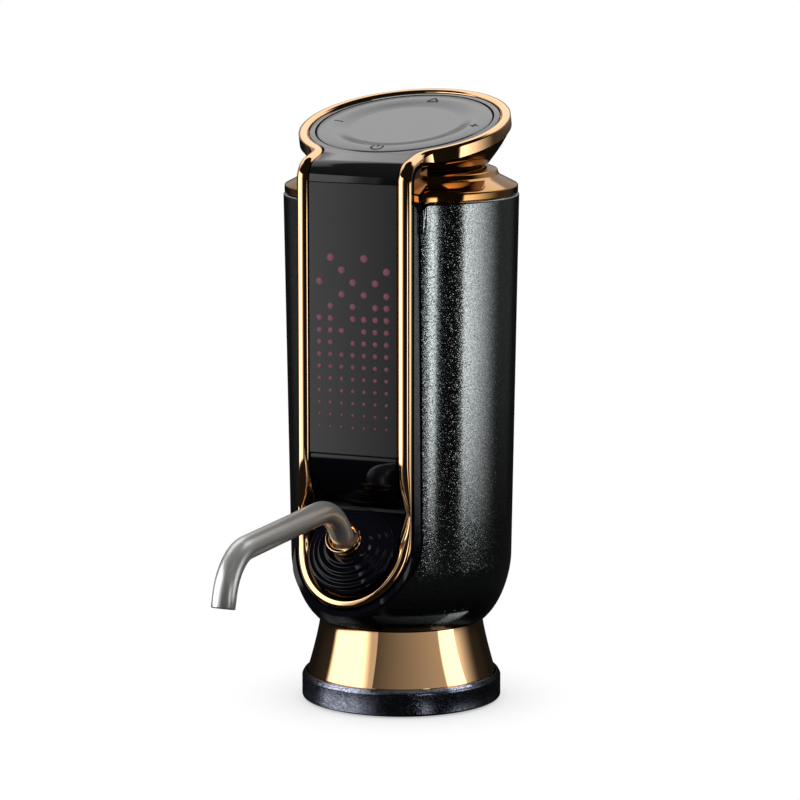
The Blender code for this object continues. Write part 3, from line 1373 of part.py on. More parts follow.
def add_pump(device):
    inner = MOTOR_RADIUS - PUMP_FRAME_WALL
    place = (0, MOTOR_CENTRE, 0)
    frame = turned(box_outline(inner, MOTOR_RADIUS, PUMP_FRAME_BOTTOM, PUMP_FRAME_TOP), MIDDLE_STEPS)
    add_object("pump_frame", frame, device, matt_black("pump_frame")).location = place
    head = can(MOTOR_RADIUS, PUMP_HEAD_BOTTOM, PUMP_HEAD_TOP, MOTOR_EDGE)
    piece = add_object("pump_head", head, device, matt_black("pump_head"))
    piece.location = place
    nozzle = rod(NOZZLE_RADIUS, PUMP_HEAD_BOTTOM - NOZZLE, PUMP_HEAD_BOTTOM + MOTOR_EDGE)
    fuse(piece, "nozzle", shifted(nozzle, (NOZZLE_PLACE, 0, 0)))
    stem_top = MOTOR_BOTTOM - ECCENTRIC_DROP - ECCENTRIC_THICKNESS - GAP
    radius = inner - GAP
    profile = [(0, PUMP_FRAME_BOTTOM), (radius, PUMP_FRAME_BOTTOM)]
    profile += [(radius, PUMP_FRAME_BOTTOM + DIAPHRAGM_THICKNESS)]
    profile += [(DIAPHRAGM_STEM_RADIUS, PUMP_FRAME_BOTTOM + DIAPHRAGM_THICKNESS)]
    profile += [(DIAPHRAGM_STEM_RADIUS, stem_top), (0, stem_top)]
    diaphragm = turned(profile, MIDDLE_STEPS)
    add_object("pump_diaphragm", diaphragm, device, silicone("pump_diaphragm")).location = place


def clamp_screw_places():
    middle = CLAMP_BOTTOM + CLAMP_HEIGHT / 2
    reach = MOTOR_RADIUS + CLAMP_TAB / 2
    return [(-reach, middle), (reach, middle)]


def add_motor_clamp(device):
    outer = MOTOR_RADIUS + GAP + CLAMP_WALL
    top = CLAMP_BOTTOM + CLAMP_HEIGHT
    ring = turned(box_outline(MOTOR_RADIUS + GAP, outer, CLAMP_BOTTOM, top), MIDDLE_STEPS)
    piece = add_object("motor_clamp", ring, device, matt_black("motor_clamp"))
    piece.location = (0, MOTOR_CENTRE, 0)
    back = CHASSIS_PLATE_FRONT - GAP - MOTOR_CENTRE
    inner = math.sqrt(outer**2 - (back - CLAMP_TAB_THICKNESS) ** 2) - CLAMP_WALL
    reach = MOTOR_RADIUS + CLAMP_TAB
    for index, side in enumerate((-1, 1)):
        limits = sorted((side * inner, side * reach))
        tab = box(limits, (back - CLAMP_TAB_THICKNESS, back), (CLAMP_BOTTOM, top))
        fuse(piece, f"tab_{index + 1}", tab)
        x, z = clamp_screw_places()[index]
        hole = rod(SCREW_RADIUS + GAP, -FAR, FAR)
        cut(piece, f"screw_{index + 1}", shifted(rotated(hole, math.pi / 2, "X"), (x, 0, z)))
    return piece


def add_clamp_screws(device):
    front = CHASSIS_PLATE_FRONT - GAP - CLAMP_TAB_THICKNESS - GAP
    length = GAP + CLAMP_TAB_THICKNESS
    for index, (x, z) in enumerate(clamp_screw_places()):
        piece = screw(f"clamp_screw_{index + 1}", device, (x, front, z), length, head_up=True)
        piece.rotation_euler = (math.pi / 2, 0, 0)


def valve_top():
    return PUMP_HEAD_BOTTOM - NOZZLE - GAP


def add_check_valve(device):
    top = valve_top()
    shape = can(VALVE_RADIUS, top - VALVE_LENGTH, top, MOTOR_EDGE, SMALL_STEPS)
    piece = add_object("check_valve", shape, device, clear_plastic("check_valve"))
    piece.location = (NOZZLE_PLACE, MOTOR_CENTRE, 0)
    return piece


def add_hose(name, device, bore, ends, middle):
    """A hose with a short straight lead, (place, direction) by (place, direction), at each end."""
    (start, rise), (end, lead) = ends
    path = [start] + smooth_path([start + rise, middle, end + lead], HOSE_POINTS) + [end]
    add_object(name, pipe(path, bore + HOSE_WALL, bore, PIN_STEPS), device, silicone(name))


def add_hoses(device):
    nipple_top = MANIFOLD_BASE + MANIFOLD + NIPPLE + GAP
    back = GAP + CHAMBER_LENGTH + GAP
    axis = Vector((0, -math.cos(SPOUT_ANGLE), math.sin(SPOUT_ANGLE)))
    chamber_end = Vector((0, -HUB_DEPTH, HUB_HEIGHT)) - axis * back
    up = Vector((0, 0, 1))
    ends = [(Vector((0, -PORT_OFFSET, nipple_top)), up * HOSE_LEAD), (chamber_end, -axis * HOSE_LEAD)]
    out, rise = WINE_HOSE_SHARES
    middle = Vector((0, blend(-PORT_OFFSET, chamber_end.y, out), blend(nipple_top, chamber_end.z, rise)))
    add_hose("wine_hose", device, WINE_HOSE_BORE, ends, middle)
    valve_end = Vector((NOZZLE_PLACE, MOTOR_CENTRE, valve_top() - VALVE_LENGTH - GAP))
    ends = [(valve_end, -up * HOSE_LEAD), (Vector((0, PORT_OFFSET, nipple_top)), up * HOSE_LEAD)]
    out, drop = AIR_HOSE_SHARES
    middle_y = blend(MOTOR_CENTRE, PORT_OFFSET, out)
    middle = Vector((NOZZLE_PLACE, middle_y, blend(valve_end.z, nipple_top, drop)))
    add_hose("air_hose", device, AIR_HOSE_BORE, ends, middle)


def cell_top():
    return CELL_BOTTOM + CELL_LENGTH


def add_battery(device):
    place = (0, CELL_CENTRE, 0)
    top = cell_top()
    body_top = top - CELL_NUB
    profile = [(0, CELL_BOTTOM), (CELL_RADIUS, CELL_BOTTOM), (CELL_RADIUS, body_top)]
    profile += [(CELL_NUB_RADIUS, body_top), (CELL_NUB_RADIUS, top), (0, top)]
    cell = add_object("battery_cell", turned(profile, MIDDLE_STEPS), device, blue_sleeve("battery_cell"))
    cell.location = place
    for name, low in (("lower", CELL_BOTTOM - GAP - CONTACT_THICKNESS), ("upper", top + GAP)):
        node = f"battery_contact_{name}"
        contact = rod(CONTACT_RADIUS, low, low + CONTACT_THICKNESS, SMALL_STEPS)
        add_object(node, contact, device, steel(node)).location = place


def add_main_board(device):
    half = MAIN_BOARD_HALF_WIDTH
    depth = (MAIN_BOARD_FRONT, MAIN_BOARD_FRONT + BOARD_THICKNESS)
    shape = box((-half, half), depth, (MAIN_BOARD_BOTTOM, MAIN_BOARD_TOP))
    return add_object("main_board", shape, device, green_board("main_board"))


def port_prism(spread, low, high):
    """A round-ended slot for the charging port, spread outwards, along Y."""
    radius = PORT_HALF_HEIGHT + spread
    centre = PORT_HALF_WIDTH - PORT_HALF_HEIGHT
    points = []
    for side in (1, -1):
        for step in range(PIN_STEPS // 2 + 1):
            turn = -math.pi / 2 + math.pi * step / (PIN_STEPS // 2)
            across = centre + radius * math.cos(turn)
            points.append((side * across, PORT_HEIGHT + side * radius * math.sin(turn)))
    return prism(points, low, high, "y")


def add_charging_port(device):
    front = MAIN_BOARD_FRONT + BOARD_THICKNESS + GAP
    mouth = body_radius(PORT_HEIGHT) - PORT_INSET
    piece = add_object("charging_port", port_prism(0, front, mouth), device, steel("charging_port"))
    cut(piece, "mouth", port_prism(-PORT_WALL, mouth - PORT_DEPTH, mouth + OVERRUN))
    tongue = PORT_HALF_WIDTH - PORT_HALF_HEIGHT
    reach = (mouth - PORT_DEPTH - PORT_WALL, mouth - PORT_WALL)
    levels = (PORT_HEIGHT - PORT_WALL, PORT_HEIGHT + PORT_WALL)
    fuse(piece, "tongue", box((-tongue, tongue), reach, levels))
    return piece


def display_flex_height():
    return NICHE_TOP + HOUSING_WALL + FLEX_HALF_WIDTH + 2 * GAP


def add_flexes(device):
    board_back = WINDOW_DEPTH - 3 * GAP - FRONT_WALL - GUIDE_THICKNESS - BOARD_THICKNESS
    half = HOUSING_HALF_WIDTH - HOUSING_WALL - GAP
    level = display_flex_height()
    end_y = MAIN_BOARD_FRONT - GAP
    side_x = blend(CABLE_SLOT_PLACE, MAIN_BOARD_HALF_WIDTH, FLEX_SIDE_SHARE)
    front_y = blend(-board_back, CHASSIS_PLATE_FRONT, FLEX_BEND_SHARE)
    rear_y = blend(CHASSIS_PLATE_BACK, end_y, FLEX_BEND_SHARE)
    route = [
        Vector((half - FLEX_HALF_WIDTH, -board_back + GAP + FLEX_THICKNESS / 2, level)),
        Vector((half - FLEX_THICKNESS, -board_back + 2 * FLEX_HALF_WIDTH, level)),
        Vector((CABLE_SLOT_PLACE, front_y, level)),
        Vector((CABLE_SLOT_PLACE, (CHASSIS_PLATE_FRONT + CHASSIS_PLATE_BACK) / 2, level)),
        Vector((side_x, rear_y, level)),
        Vector((MAIN_BOARD_HALF_WIDTH - FLEX_HALF_WIDTH / 2, end_y - FLEX_THICKNESS / 2, level)),
    ]
    path = smooth_path(route, HOSE_POINTS)
    shape = strip(path, Vector((0, 0, 1)), FLEX_HALF_WIDTH, FLEX_THICKNESS)
    add_object("display_flex", shape, device, amber_film("display_flex"))
    start = head_point(0, SWITCH_RADIUS - SWITCH_HALF_SIDE, -switch_board_bottom() - GAP - FLEX_THICKNESS / 2)
    back_y = MAIN_BOARD_FRONT + BOARD_THICKNESS + GAP + FLEX_THICKNESS / 2
    route = [
        start,
        start + Vector((0, FLEX_HALF_WIDTH, -FLEX_HALF_WIDTH / 2)),
        Vector((0, COLLAR_BORE - NECK_WALL - FLEX_HALF_WIDTH, CHASSIS_RING_TOP)),
        Vector((0, COLLAR_BORE - NECK_WALL - FLEX_HALF_WIDTH, CHASSIS_RING_TOP - 2 * CHASSIS_RING)),
        Vector((0, back_y, blend(CHASSIS_RING_TOP, MAIN_BOARD_TOP, FLEX_DROP_SHARE))),
        Vector((0, back_y, MAIN_BOARD_TOP - FLEX_HALF_WIDTH)),
    ]
    path = smooth_path(route, HOSE_POINTS)
    shape = strip(path, Vector((1, 0, 0)), FLEX_HALF_WIDTH, FLEX_THICKNESS)
    add_object("pad_flex", shape, device, amber_film("pad_flex"))


def main():
    for old in list(bpy.data.objects):
        bpy.data.objects.remove(old)
    device = add_frame("device", None, (0, 0, -SEAT_HEIGHT), 0)
    head = add_frame("head", device, (0, HEAD_SETBACK, HEAD_HEIGHT), HEAD_TILT)
    spout_place = (0, -HUB_DEPTH, HUB_HEIGHT)
    spout = add_frame("spout", device, spout_place, math.pi / 2 - SPOUT_ANGLE)
    swivel = add_frame("spout_swivel", spout, (0, 0, 0), 0)
    add_foot_pad(device)
    add_base_ring(device)
    add_base_flare(device)
    add_socket_sleeve(device)
    add_bottle_seal(device)
    add_port_manifold(device)
    add_foot_screws(device)
    add_body_shell(device)
    add_chassis(device)
    add_front_housing(device, head, spout)
    add_display_window(device)
    add_display_stack(device)
    add_trim_frame(device)
    add_top_collar(device)
    add_collar_screws(device)
    add_neck_ring(device)
    add_head_bowl(device, head)
    add_top_plate(device, head)
    add_pad_gasket(head)
    add_control_pad(head)
    add_pad_gimbal(head)
    add_pad_post(head)
    add_switch_board(head)
    add_board_screws(head)
    add_tact_switches(head)
    add_spout_hub(spout)
    add_spout_rings(spout, swivel)
    add_spout_tube(swivel)
    add_mixing_chamber(spout)
    add_pump_motor(device)
    add_motor_shaft(device)
    add_pump(device)
    add_motor_clamp(device)
    add_clamp_screws(device)
    add_check_valve(device)
    add_hoses(device)
    add_battery(device)
    add_main_board(device)
    add_charging_port(device)
    add_flexes(device)


main()
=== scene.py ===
"""Studio scene of an electric wine aerator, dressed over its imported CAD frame.

Lengths are metres unless a comment or docstring says millimetres. The origin is the bottle seat, -Y is
the front, +X the right hand and +Z is up. Each piece is modelled above the underside of the foot, in
its own sub-assembly's frame, and is then settled into the CAD frame with its place in its mesh.
"""

import json
import logging
import math
from dataclasses import dataclass
from enum import Enum
from typing import Callable, Iterable, Mapping, Sequence

import bmesh
import bpy
from mathutils import Matrix, Vector


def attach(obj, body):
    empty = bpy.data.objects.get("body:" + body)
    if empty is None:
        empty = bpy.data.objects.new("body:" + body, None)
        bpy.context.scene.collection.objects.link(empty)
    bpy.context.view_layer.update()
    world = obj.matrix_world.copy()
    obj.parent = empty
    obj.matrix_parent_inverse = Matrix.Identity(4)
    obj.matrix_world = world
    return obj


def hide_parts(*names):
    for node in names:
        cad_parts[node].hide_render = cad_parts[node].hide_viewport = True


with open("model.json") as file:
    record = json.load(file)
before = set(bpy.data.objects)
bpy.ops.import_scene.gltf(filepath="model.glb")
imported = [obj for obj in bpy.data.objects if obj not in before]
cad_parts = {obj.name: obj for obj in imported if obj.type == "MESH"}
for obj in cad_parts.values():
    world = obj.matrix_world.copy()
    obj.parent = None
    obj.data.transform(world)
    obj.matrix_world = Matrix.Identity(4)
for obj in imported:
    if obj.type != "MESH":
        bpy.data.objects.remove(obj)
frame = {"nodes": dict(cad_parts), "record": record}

log = logging.getLogger("aerator")

MM = 0.001
PER_MM = 1000
HAIR = 0.3 * MM
WELD = 0.001 * MM
FAR = 60 * MM
SEAT_HEIGHT = 22 * MM
HEAD_HEIGHT = 148.6 * MM
HEAD_SETBACK = 2.0 * MM
HEAD_TILT = math.radians(14.2)
HUB_DEPTH = 31.2 * MM
HUB_HEIGHT = 44.3 * MM
SPOUT_ANGLE = math.radians(37)
DEVICE = Matrix.Translation((0, 0, -SEAT_HEIGHT))
LIFT = Matrix.Translation((0, 0, SEAT_HEIGHT))
HEAD = DEVICE @ Matrix.Translation((0, HEAD_SETBACK, HEAD_HEIGHT)) @ Matrix.Rotation(HEAD_TILT, 4, "X")
SPOUT = (
    DEVICE
    @ Matrix.Translation((0, -HUB_DEPTH, HUB_HEIGHT))
    @ Matrix.Rotation(math.pi / 2 - SPOUT_ANGLE, 4, "X")
)

Colour = tuple[float, float, float]
Point2 = tuple[float, float]
Corner = tuple[float, float, float]
Rib = tuple[float, float | None, float | None]


class Body(Enum):
    """The bodies of the CAD model that pieces ride on."""

    SHELL = "body"
    PAD = "pad"
    SPOUT = "spout"


# Outlines


def rounded(corners: Sequence[Corner], steps: int = 6, closed: bool = True) -> list[Point2]:
    """Rounds the corners of a flat outline.

    Args:
        corners: (across, up, fillet radius) of each corner, in order.
        steps: the number of chords in each fillet.
        closed: whether the last corner joins the first.

    Returns:
        The outline's points.
    """
    points: list[Point2] = []
    count = len(corners)
    for index, (across, up, radius) in enumerate(corners):
        here = Vector((across, up))
        if radius <= 0 or (not closed and index in (0, count - 1)):
            points.append((across, up))
            continue
        before = Vector(corners[index - 1][:2])
        after = Vector(corners[(index + 1) % count][:2])
        arriving = (here - before).normalized()
        leaving = (after - here).normalized()
        turn = arriving.angle(leaving)
        room = 0.48 * min((here - before).length, (after - here).length)
        radius = min(radius, room / max(math.tan(turn / 2), 1e-6))
        inward = (leaving - arriving).normalized()
        along = (arriving + leaving).normalized()
        centre = here + inward * (radius / math.cos(turn / 2))
        for step in range(steps + 1):
            swing = turn * (step / steps - 0.5)
            spot = centre - inward * (radius * math.cos(swing)) + along * (radius * math.sin(swing))
            points.append((spot.x, spot.y))
    return points


def blend(start: float, end: float, share: float) -> float:
    """Goes from start to end as the share goes from 0 to 1."""
    return start + (end - start) * share


def ease(share: float) -> float:
    """Runs smoothly from 0 to 1 as the share does."""
    share = min(max(share, 0.0), 1.0)
    return share * share * (3 - 2 * share)


# The bench


class Bench:
    """Modelling steps that the sub-assemblies share, with one piece in hand at a time."""

    @staticmethod
    def clear() -> None:
        """Leaves edit mode and deselects everything."""
        active = bpy.context.view_layer.objects.active
        if active is not None and active.mode != "OBJECT":
            bpy.ops.object.mode_set(mode="OBJECT")
        bpy.ops.object.select_all(action="DESELECT")

    @staticmethod
    def take(piece: bpy.types.Object) -> None:
        """Makes a piece the only one selected.

        Args:
            piece: the piece.
        """
        Bench.clear()
        piece.select_set(True)
        bpy.context.view_layer.objects.active = piece

    @staticmethod
    def freeze(piece: bpy.types.Object) -> None:
        """Puts a piece's place, turn and scale into its mesh."""
        Bench.take(piece)
        bpy.ops.object.transform_apply(location=True, rotation=True, scale=True)

    @staticmethod
    def draw(name: str, points: Sequence[Vector], closed: bool) -> bpy.types.Object:
        """Draws an outline by extruding one vertex from point to point.

        Args:
            name: the piece's name.
            points: the outline's points.
            closed: whether an edge joins the last point to the first.

        Returns:
            The piece, left in edit mode with all of it selected.
        """
        Bench.clear()
        bpy.ops.mesh.primitive_plane_add(size=MM, location=(0, 0, 0))
        piece = bpy.context.object
        piece.name = name
        bpy.ops.object.mode_set(mode="EDIT")
        bpy.ops.mesh.select_all(action="SELECT")
        bpy.ops.mesh.merge(type="CENTER")
        bpy.ops.transform.translate(value=points[0])
        for before, after in zip(points, points[1:]):
            bpy.ops.mesh.extrude_region_move(TRANSFORM_OT_translate={"value": after - before})
        if closed:
            shape = bmesh.from_edit_mesh(piece.data)
            shape.verts.ensure_lookup_table()
            ends = [vert for vert in shape.verts if len(vert.link_edges) == 1]
            shape.select_mode = {"VERT"}
            for vert in shape.verts:
                vert.select_set(vert in ends)
            bmesh.update_edit_mesh(piece.data)
            bpy.ops.mesh.edge_face_add()
        bpy.ops.mesh.select_all(action="SELECT")
        return piece

    @staticmethod
    def turn(name: str, profile: Sequence[Point2], steps: int = 128, closed: bool = True) -> bpy.types.Object:
        """Spins a (radius, height) profile round the Z axis.

        Args:
            name: the piece's name.
            profile: the profile's points; an open one starts and ends on the axis.
            steps: the number of facets in a full turn.
            closed: whether the profile is a loop that stays off the axis.

        Returns:
            The turned piece.
        """
        piece = Bench.draw(name, [Vector((radius, 0, height)) for radius, height in profile], closed)
        bpy.ops.mesh.spin(steps=steps, angle=math.tau, center=(0, 0, 0), axis=(0, 0, 1))
        bpy.ops.mesh.select_all(action="SELECT")
        bpy.ops.mesh.remove_doubles(threshold=WELD)
        bpy.ops.mesh.normals_make_consistent(inside=False)
        Bench.clear()
        return piece

    @staticmethod
    def prism(name: str, outline: Sequence[Vector], travel: Vector) -> bpy.types.Object:
        """Fills a flat outline and extrudes it.

        Args:
            name: the piece's name.
            outline: the outline's points, on one plane.
            travel: how far, and which way, the filled face is extruded.

        Returns:
            The closed piece.
        """
        piece = Bench.draw(name, outline, closed=True)
        bpy.ops.mesh.edge_face_add()
        bpy.ops.mesh.extrude_region_move(TRANSFORM_OT_translate={"value": travel})
        bpy.ops.mesh.select_all(action="SELECT")
        bpy.ops.mesh.normals_make_consistent(inside=False)
        Bench.clear()
        return piece

    @staticmethod
    def block(name: str, low: Vector, high: Vector) -> bpy.types.Object:
        """A rectangular block.

        Args:
            name: the piece's name.
            low: its lowest corner.
            high: its highest corner.

        Returns:
            The block.
        """
        Bench.clear()
        bpy.ops.mesh.primitive_cube_add(size=1, location=(low + high) / 2, scale=high - low)
        piece = bpy.context.object
        piece.name = name
        Bench.freeze(piece)
        return piece

    @staticmethod
    def rod(
        radius: float, length: float, facets: int, place: Sequence[float] = (0, 0, 0)
    ) -> bpy.types.Object:
        """An upright rod that bores a hole.

        Args:
            radius: its radius.
            length: its length.
            facets: the number of facets round it.
            place: its middle.

        Returns:
            The rod.
        """
        Bench.clear()
        bpy.ops.mesh.primitive_cylinder_add(vertices=facets, radius=radius, depth=length, location=place)
        return bpy.context.object

    @staticmethod
    def loft(name: str, rings: Sequence[Sequence[Vector]], looped: bool) -> bpy.types.Object:
        """Skins rings of equal length, for shapes that no turning or extrusion gives.

        Args:
            name: the piece's name.
            rings: the rings, in order.
            looped: whether the last ring joins the first; otherwise both ends are capped.

        Returns:
            The closed piece.
        """
        shape = bmesh.new()
        rows = [[shape.verts.new(point) for point in ring] for ring in rings]
        following = rows[1:] + rows[:1] if looped else rows[1:]
        for first, second in zip(rows, following):
            for corners in zip(first, first[1:] + first[:1], second[1:] + second[:1], second):
                shape.faces.new(corners)
        if not looped:
            shape.faces.new(rows[0])
            shape.faces.new(rows[-1])
        bmesh.ops.recalc_face_normals(shape, faces=shape.faces)
        mesh = bpy.data.meshes.new(name)
        shape.to_mesh(mesh)
        shape.free()
        piece = bpy.data.objects.new(name, mesh)
        bpy.context.scene.collection.objects.link(piece)
        return piece

    @staticmethod
    def apply(piece: bpy.types.Object, kind: str, settings: Mapping[str, object]) -> None:
        """Adds a modifier, sets it and applies it.

        Args:
            piece: the piece.
            kind: the modifier's type.
            settings: its properties.
        """
        Bench.take(piece)
        modifier = piece.modifiers.new(kind.title(), kind)
        for key, value in settings.items():
            setattr(modifier, key, value)
        bpy.ops.object.modifier_apply(modifier=modifier.name)

    @staticmethod
    def combine(piece: bpy.types.Object, tool: bpy.types.Object, operation: str = "DIFFERENCE") -> None:
        """Cuts, joins or intersects a piece with a tool shape, which is then thrown away."""
        Bench.apply(piece, "BOOLEAN", {"operation": operation, "object": tool, "solver": "EXACT"})
        bpy.data.objects.remove(tool)

    @staticmethod
    def soften(piece: bpy.types.Object, width: float, segments: int, degrees: float) -> None:
        """Bevels the sharp edges of a piece and keeps its flat faces' shading flat.

        Args:
            piece: the piece.
            width: the bevel's width.
            segments: the number of facets across it.
            degrees: the angle past which an edge is bevelled.
        """
        settings = {
            "width": width,
            "segments": segments,
            "limit_method": "ANGLE",
            "angle_limit": math.radians(degrees),
            "miter_outer": "MITER_ARC",
        }
        Bench.apply(piece, "BEVEL", settings)
        Bench.shade(piece, 60)
        Bench.apply(piece, "WEIGHTED_NORMAL", {"keep_sharp": True, "weight": 50})

    @staticmethod
    def shade(piece: bpy.types.Object, degrees: float) -> None:
        """Shades a piece smooth, except across edges sharper than an angle."""
        Bench.take(piece)
        bpy.ops.object.shade_smooth_by_angle(angle=math.radians(degrees))

    @staticmethod
    def settle(piece: bpy.types.Object, place: Matrix) -> None:
        """Moves a piece to its place and puts that place into its mesh."""
        piece.matrix_world = place
        Bench.freeze(piece)

    @staticmethod
    def join(name: str, pieces: Sequence[bpy.types.Object]) -> bpy.types.Object:
        """Joins several pieces into one.

        Args:
            name: the new piece's name.
            pieces: the pieces.

        Returns:
            The new piece.
        """
        Bench.clear()
        for piece in pieces:
            piece.select_set(True)
        bpy.context.view_layer.objects.active = pieces[0]
        bpy.ops.object.join()
        pieces[0].name = name
        return pieces[0]


# Shader maths


class Wire:
    """A socket that takes part in an expression: each operator adds the Math node it needs."""

    def __init__(self, graph: "Graph", socket: bpy.types.NodeSocket) -> None:
        """Wraps a socket of a graph."""
        self.graph = graph
        self.socket = socket

    def _math(self, operation: str, first: object, second: object = 0.0) -> "Wire":
        """Adds a Math node on one or two values."""
        node = self.graph.add("ShaderNodeMath", {"operation": operation}, {0: first, 1: second})
        return Wire(self.graph, node.outputs[0])

    def __add__(self, other: object) -> "Wire":
        """The sum."""
        return self._math("ADD", self, other)

    def __radd__(self, other: object) -> "Wire":
        """The sum, with the number first."""
        return self._math("ADD", other, self)

    def __sub__(self, other: object) -> "Wire":
        """The difference."""
        return self._math("SUBTRACT", self, other)

    def __rsub__(self, other: object) -> "Wire":
        """The difference, with the number first."""
        return self._math("SUBTRACT", other, self)

    def __mul__(self, other: object) -> "Wire":
        """The product."""
        return self._math("MULTIPLY", self, other)

    def __rmul__(self, other: object) -> "Wire":
        """The product, with the number first."""
        return self._math("MULTIPLY", other, self)

    def __abs__(self) -> "Wire":
        """The distance from zero."""
        return self._math("ABSOLUTE", self)

    def root(self) -> "Wire":
        """The square root."""
        return self._math("SQRT", self)

    def bearing(self, ahead: "Wire") -> "Wire":
        """The bearing, in degrees, of a point this far to the right and so far ahead."""
        return self._math("ARCTAN2", self, ahead) * (180 / math.pi)

    def above(self, limit: float, softness: float) -> "Wire":
        """0 below a limit and 1 above it, over a soft step.

        Args:
            limit: the middle of the step.
            softness: the width of the step.

        Returns:
            The stepped value.
        """
        limits = {
            "Value": self,
            "From Min": limit - softness / 2,
            "From Max": limit + softness / 2,
        }
        node = self.graph.add("ShaderNodeMapRange", {"interpolation_type": "SMOOTHSTEP"}, limits)
        return Wire(self.graph, node.outputs[0])


class Graph:
    """The node tree of one material or world."""

    def __init__(self, tree: bpy.types.NodeTree) -> None:
        """Empties the tree and takes it over."""
        self.tree = tree
        tree.nodes.clear()

    def add(
        self,
        kind: str,
        settings: Mapping[str, object] | None = None,
        sockets: Mapping[str | int, object] | None = None,
    ) -> bpy.types.Node:
        """Adds a node.

        Args:
            kind: the node's type.
            settings: its properties, and "stops" for a ramp, which are set first.
            sockets: values, sockets or wires for its inputs, by name or number.

        Returns:
            The node.
        """
        node = self.tree.nodes.new(kind)
        for key, value in (settings or {}).items():
            if key == "stops":
                for index, (place, colour) in enumerate(value):
                    ramp = node.color_ramp.elements
                    stop = ramp[index] if index < 2 else ramp.new(place)
                    stop.position = place
                    stop.color = (*colour, 1)
            else:
                setattr(node, key, value)
        for key, value in (sockets or {}).items():
            target = node.inputs[key]
            if isinstance(value, Wire):
                self.tree.links.new(value.socket, target)
            elif isinstance(value, bpy.types.NodeSocket):
                self.tree.links.new(value, target)
            elif isinstance(value, tuple) and len(value) == 3 and target.type == "RGBA":
                target.default_value = (*value, 1)
            else:
                target.default_value = value
        return node

    def wire(self, socket: bpy.types.NodeSocket) -> Wire:
        """Wraps a socket for an expression."""
        return Wire(self, socket)

    def place(self) -> bpy.types.NodeSocket:
        """The Object coordinates."""
        return self.add("ShaderNodeTexCoord").outputs["Object"]

    def axes(self) -> tuple[Wire, Wire, Wire]:
        """The three Object coordinates, each on its own wire."""
        node = self.add("ShaderNodeSeparateXYZ", {}, {0: self.place()})
        return self.wire(node.outputs[0]), self.wire(node.outputs[1]), self.wire(node.outputs[2])

    def noise(self, size: float, detail: float = 3.0, rough: float = 0.55) -> Wire:
        """Smooth noise.

        Args:
            size: the size of its largest blotches, in metres.
            detail: how many finer layers it has.
            rough: how strong the finer layers are.

        Returns:
            The noise, from 0 to 1.
        """
        sockets = {"Vector": self.place(), "Scale": 1 / size, "Detail": detail, "Roughness": rough}
        return self.wire(self.add("ShaderNodeTexNoise", {}, sockets).outputs[0])

    def cells(self, size: float) -> tuple[Wire, bpy.types.NodeSocket]:
        """Random cells.

        Args:
            size: the size of a cell, in metres.

        Returns:
            Each cell's random value, and its random colour.
        """
        node = self.add("ShaderNodeTexVoronoi", {}, {"Vector": self.place(), "Scale": 1 / size})
        parts = self.add("ShaderNodeSeparateColor", {}, {0: node.outputs["Color"]})
        return self.wire(parts.outputs[0]), node.outputs["Color"]

    def mix(self, share: Wire, low: object, high: object) -> bpy.types.NodeSocket:
        """Mixes two colours by a share."""
        node = self.add("ShaderNodeMix", {"data_type": "RGBA"}, {"Factor": share, 6: low, 7: high})
        return node.outputs[2]

    def vector(self, operation: str, sockets: Mapping[str | int, object]) -> bpy.types.NodeSocket:
        """The outcome of a Vector Math node."""
        return self.add("ShaderNodeVectorMath", {"operation": operation}, sockets).outputs[0]

    def bump(self, height: Wire, strength: float, depth: float) -> bpy.types.NodeSocket:
        """A bumped normal.

        Args:
            height: the height, from 0 to 1.
            strength: how much of it shows.
            depth: the distance that a height of 1 stands for, in metres.

        Returns:
            The normal.
        """
        sockets = {"Height": height, "Strength": strength, "Distance": depth}
        return self.add("ShaderNodeBump", {}, sockets).outputs[0]


# Finishes


@dataclass(frozen=True)
class Finish:
    """A surface finish on one Principled shader.

    Each kind gives its fixed sockets and paints the ones that vary over the surface. The slot is the
    record's material slot that its pieces take their finish from.
    """

    label: str
    slot: str

    def fixed(self) -> dict[str, object]:
        """The sockets that are the same all over."""
        return {}

    def paint(self, graph: Graph) -> dict[str, object]:
        """The sockets that vary over the surface."""
        return {}

    def material(self) -> bpy.types.Material:
        """Makes the material, once for each label.

        Returns:
            The material.
        """
        known = bpy.data.materials.get(self.label)
        if known is not None:
            return known
        made = bpy.data.materials.new(self.label)
        made.use_nodes = True
        graph = Graph(made.node_tree)
        shader = graph.add("ShaderNodeBsdfPrincipled", {}, {**self.fixed(), **self.paint(graph)})
        graph.add("ShaderNodeOutputMaterial", {}, {"Surface": shader.outputs[0]})
        return made


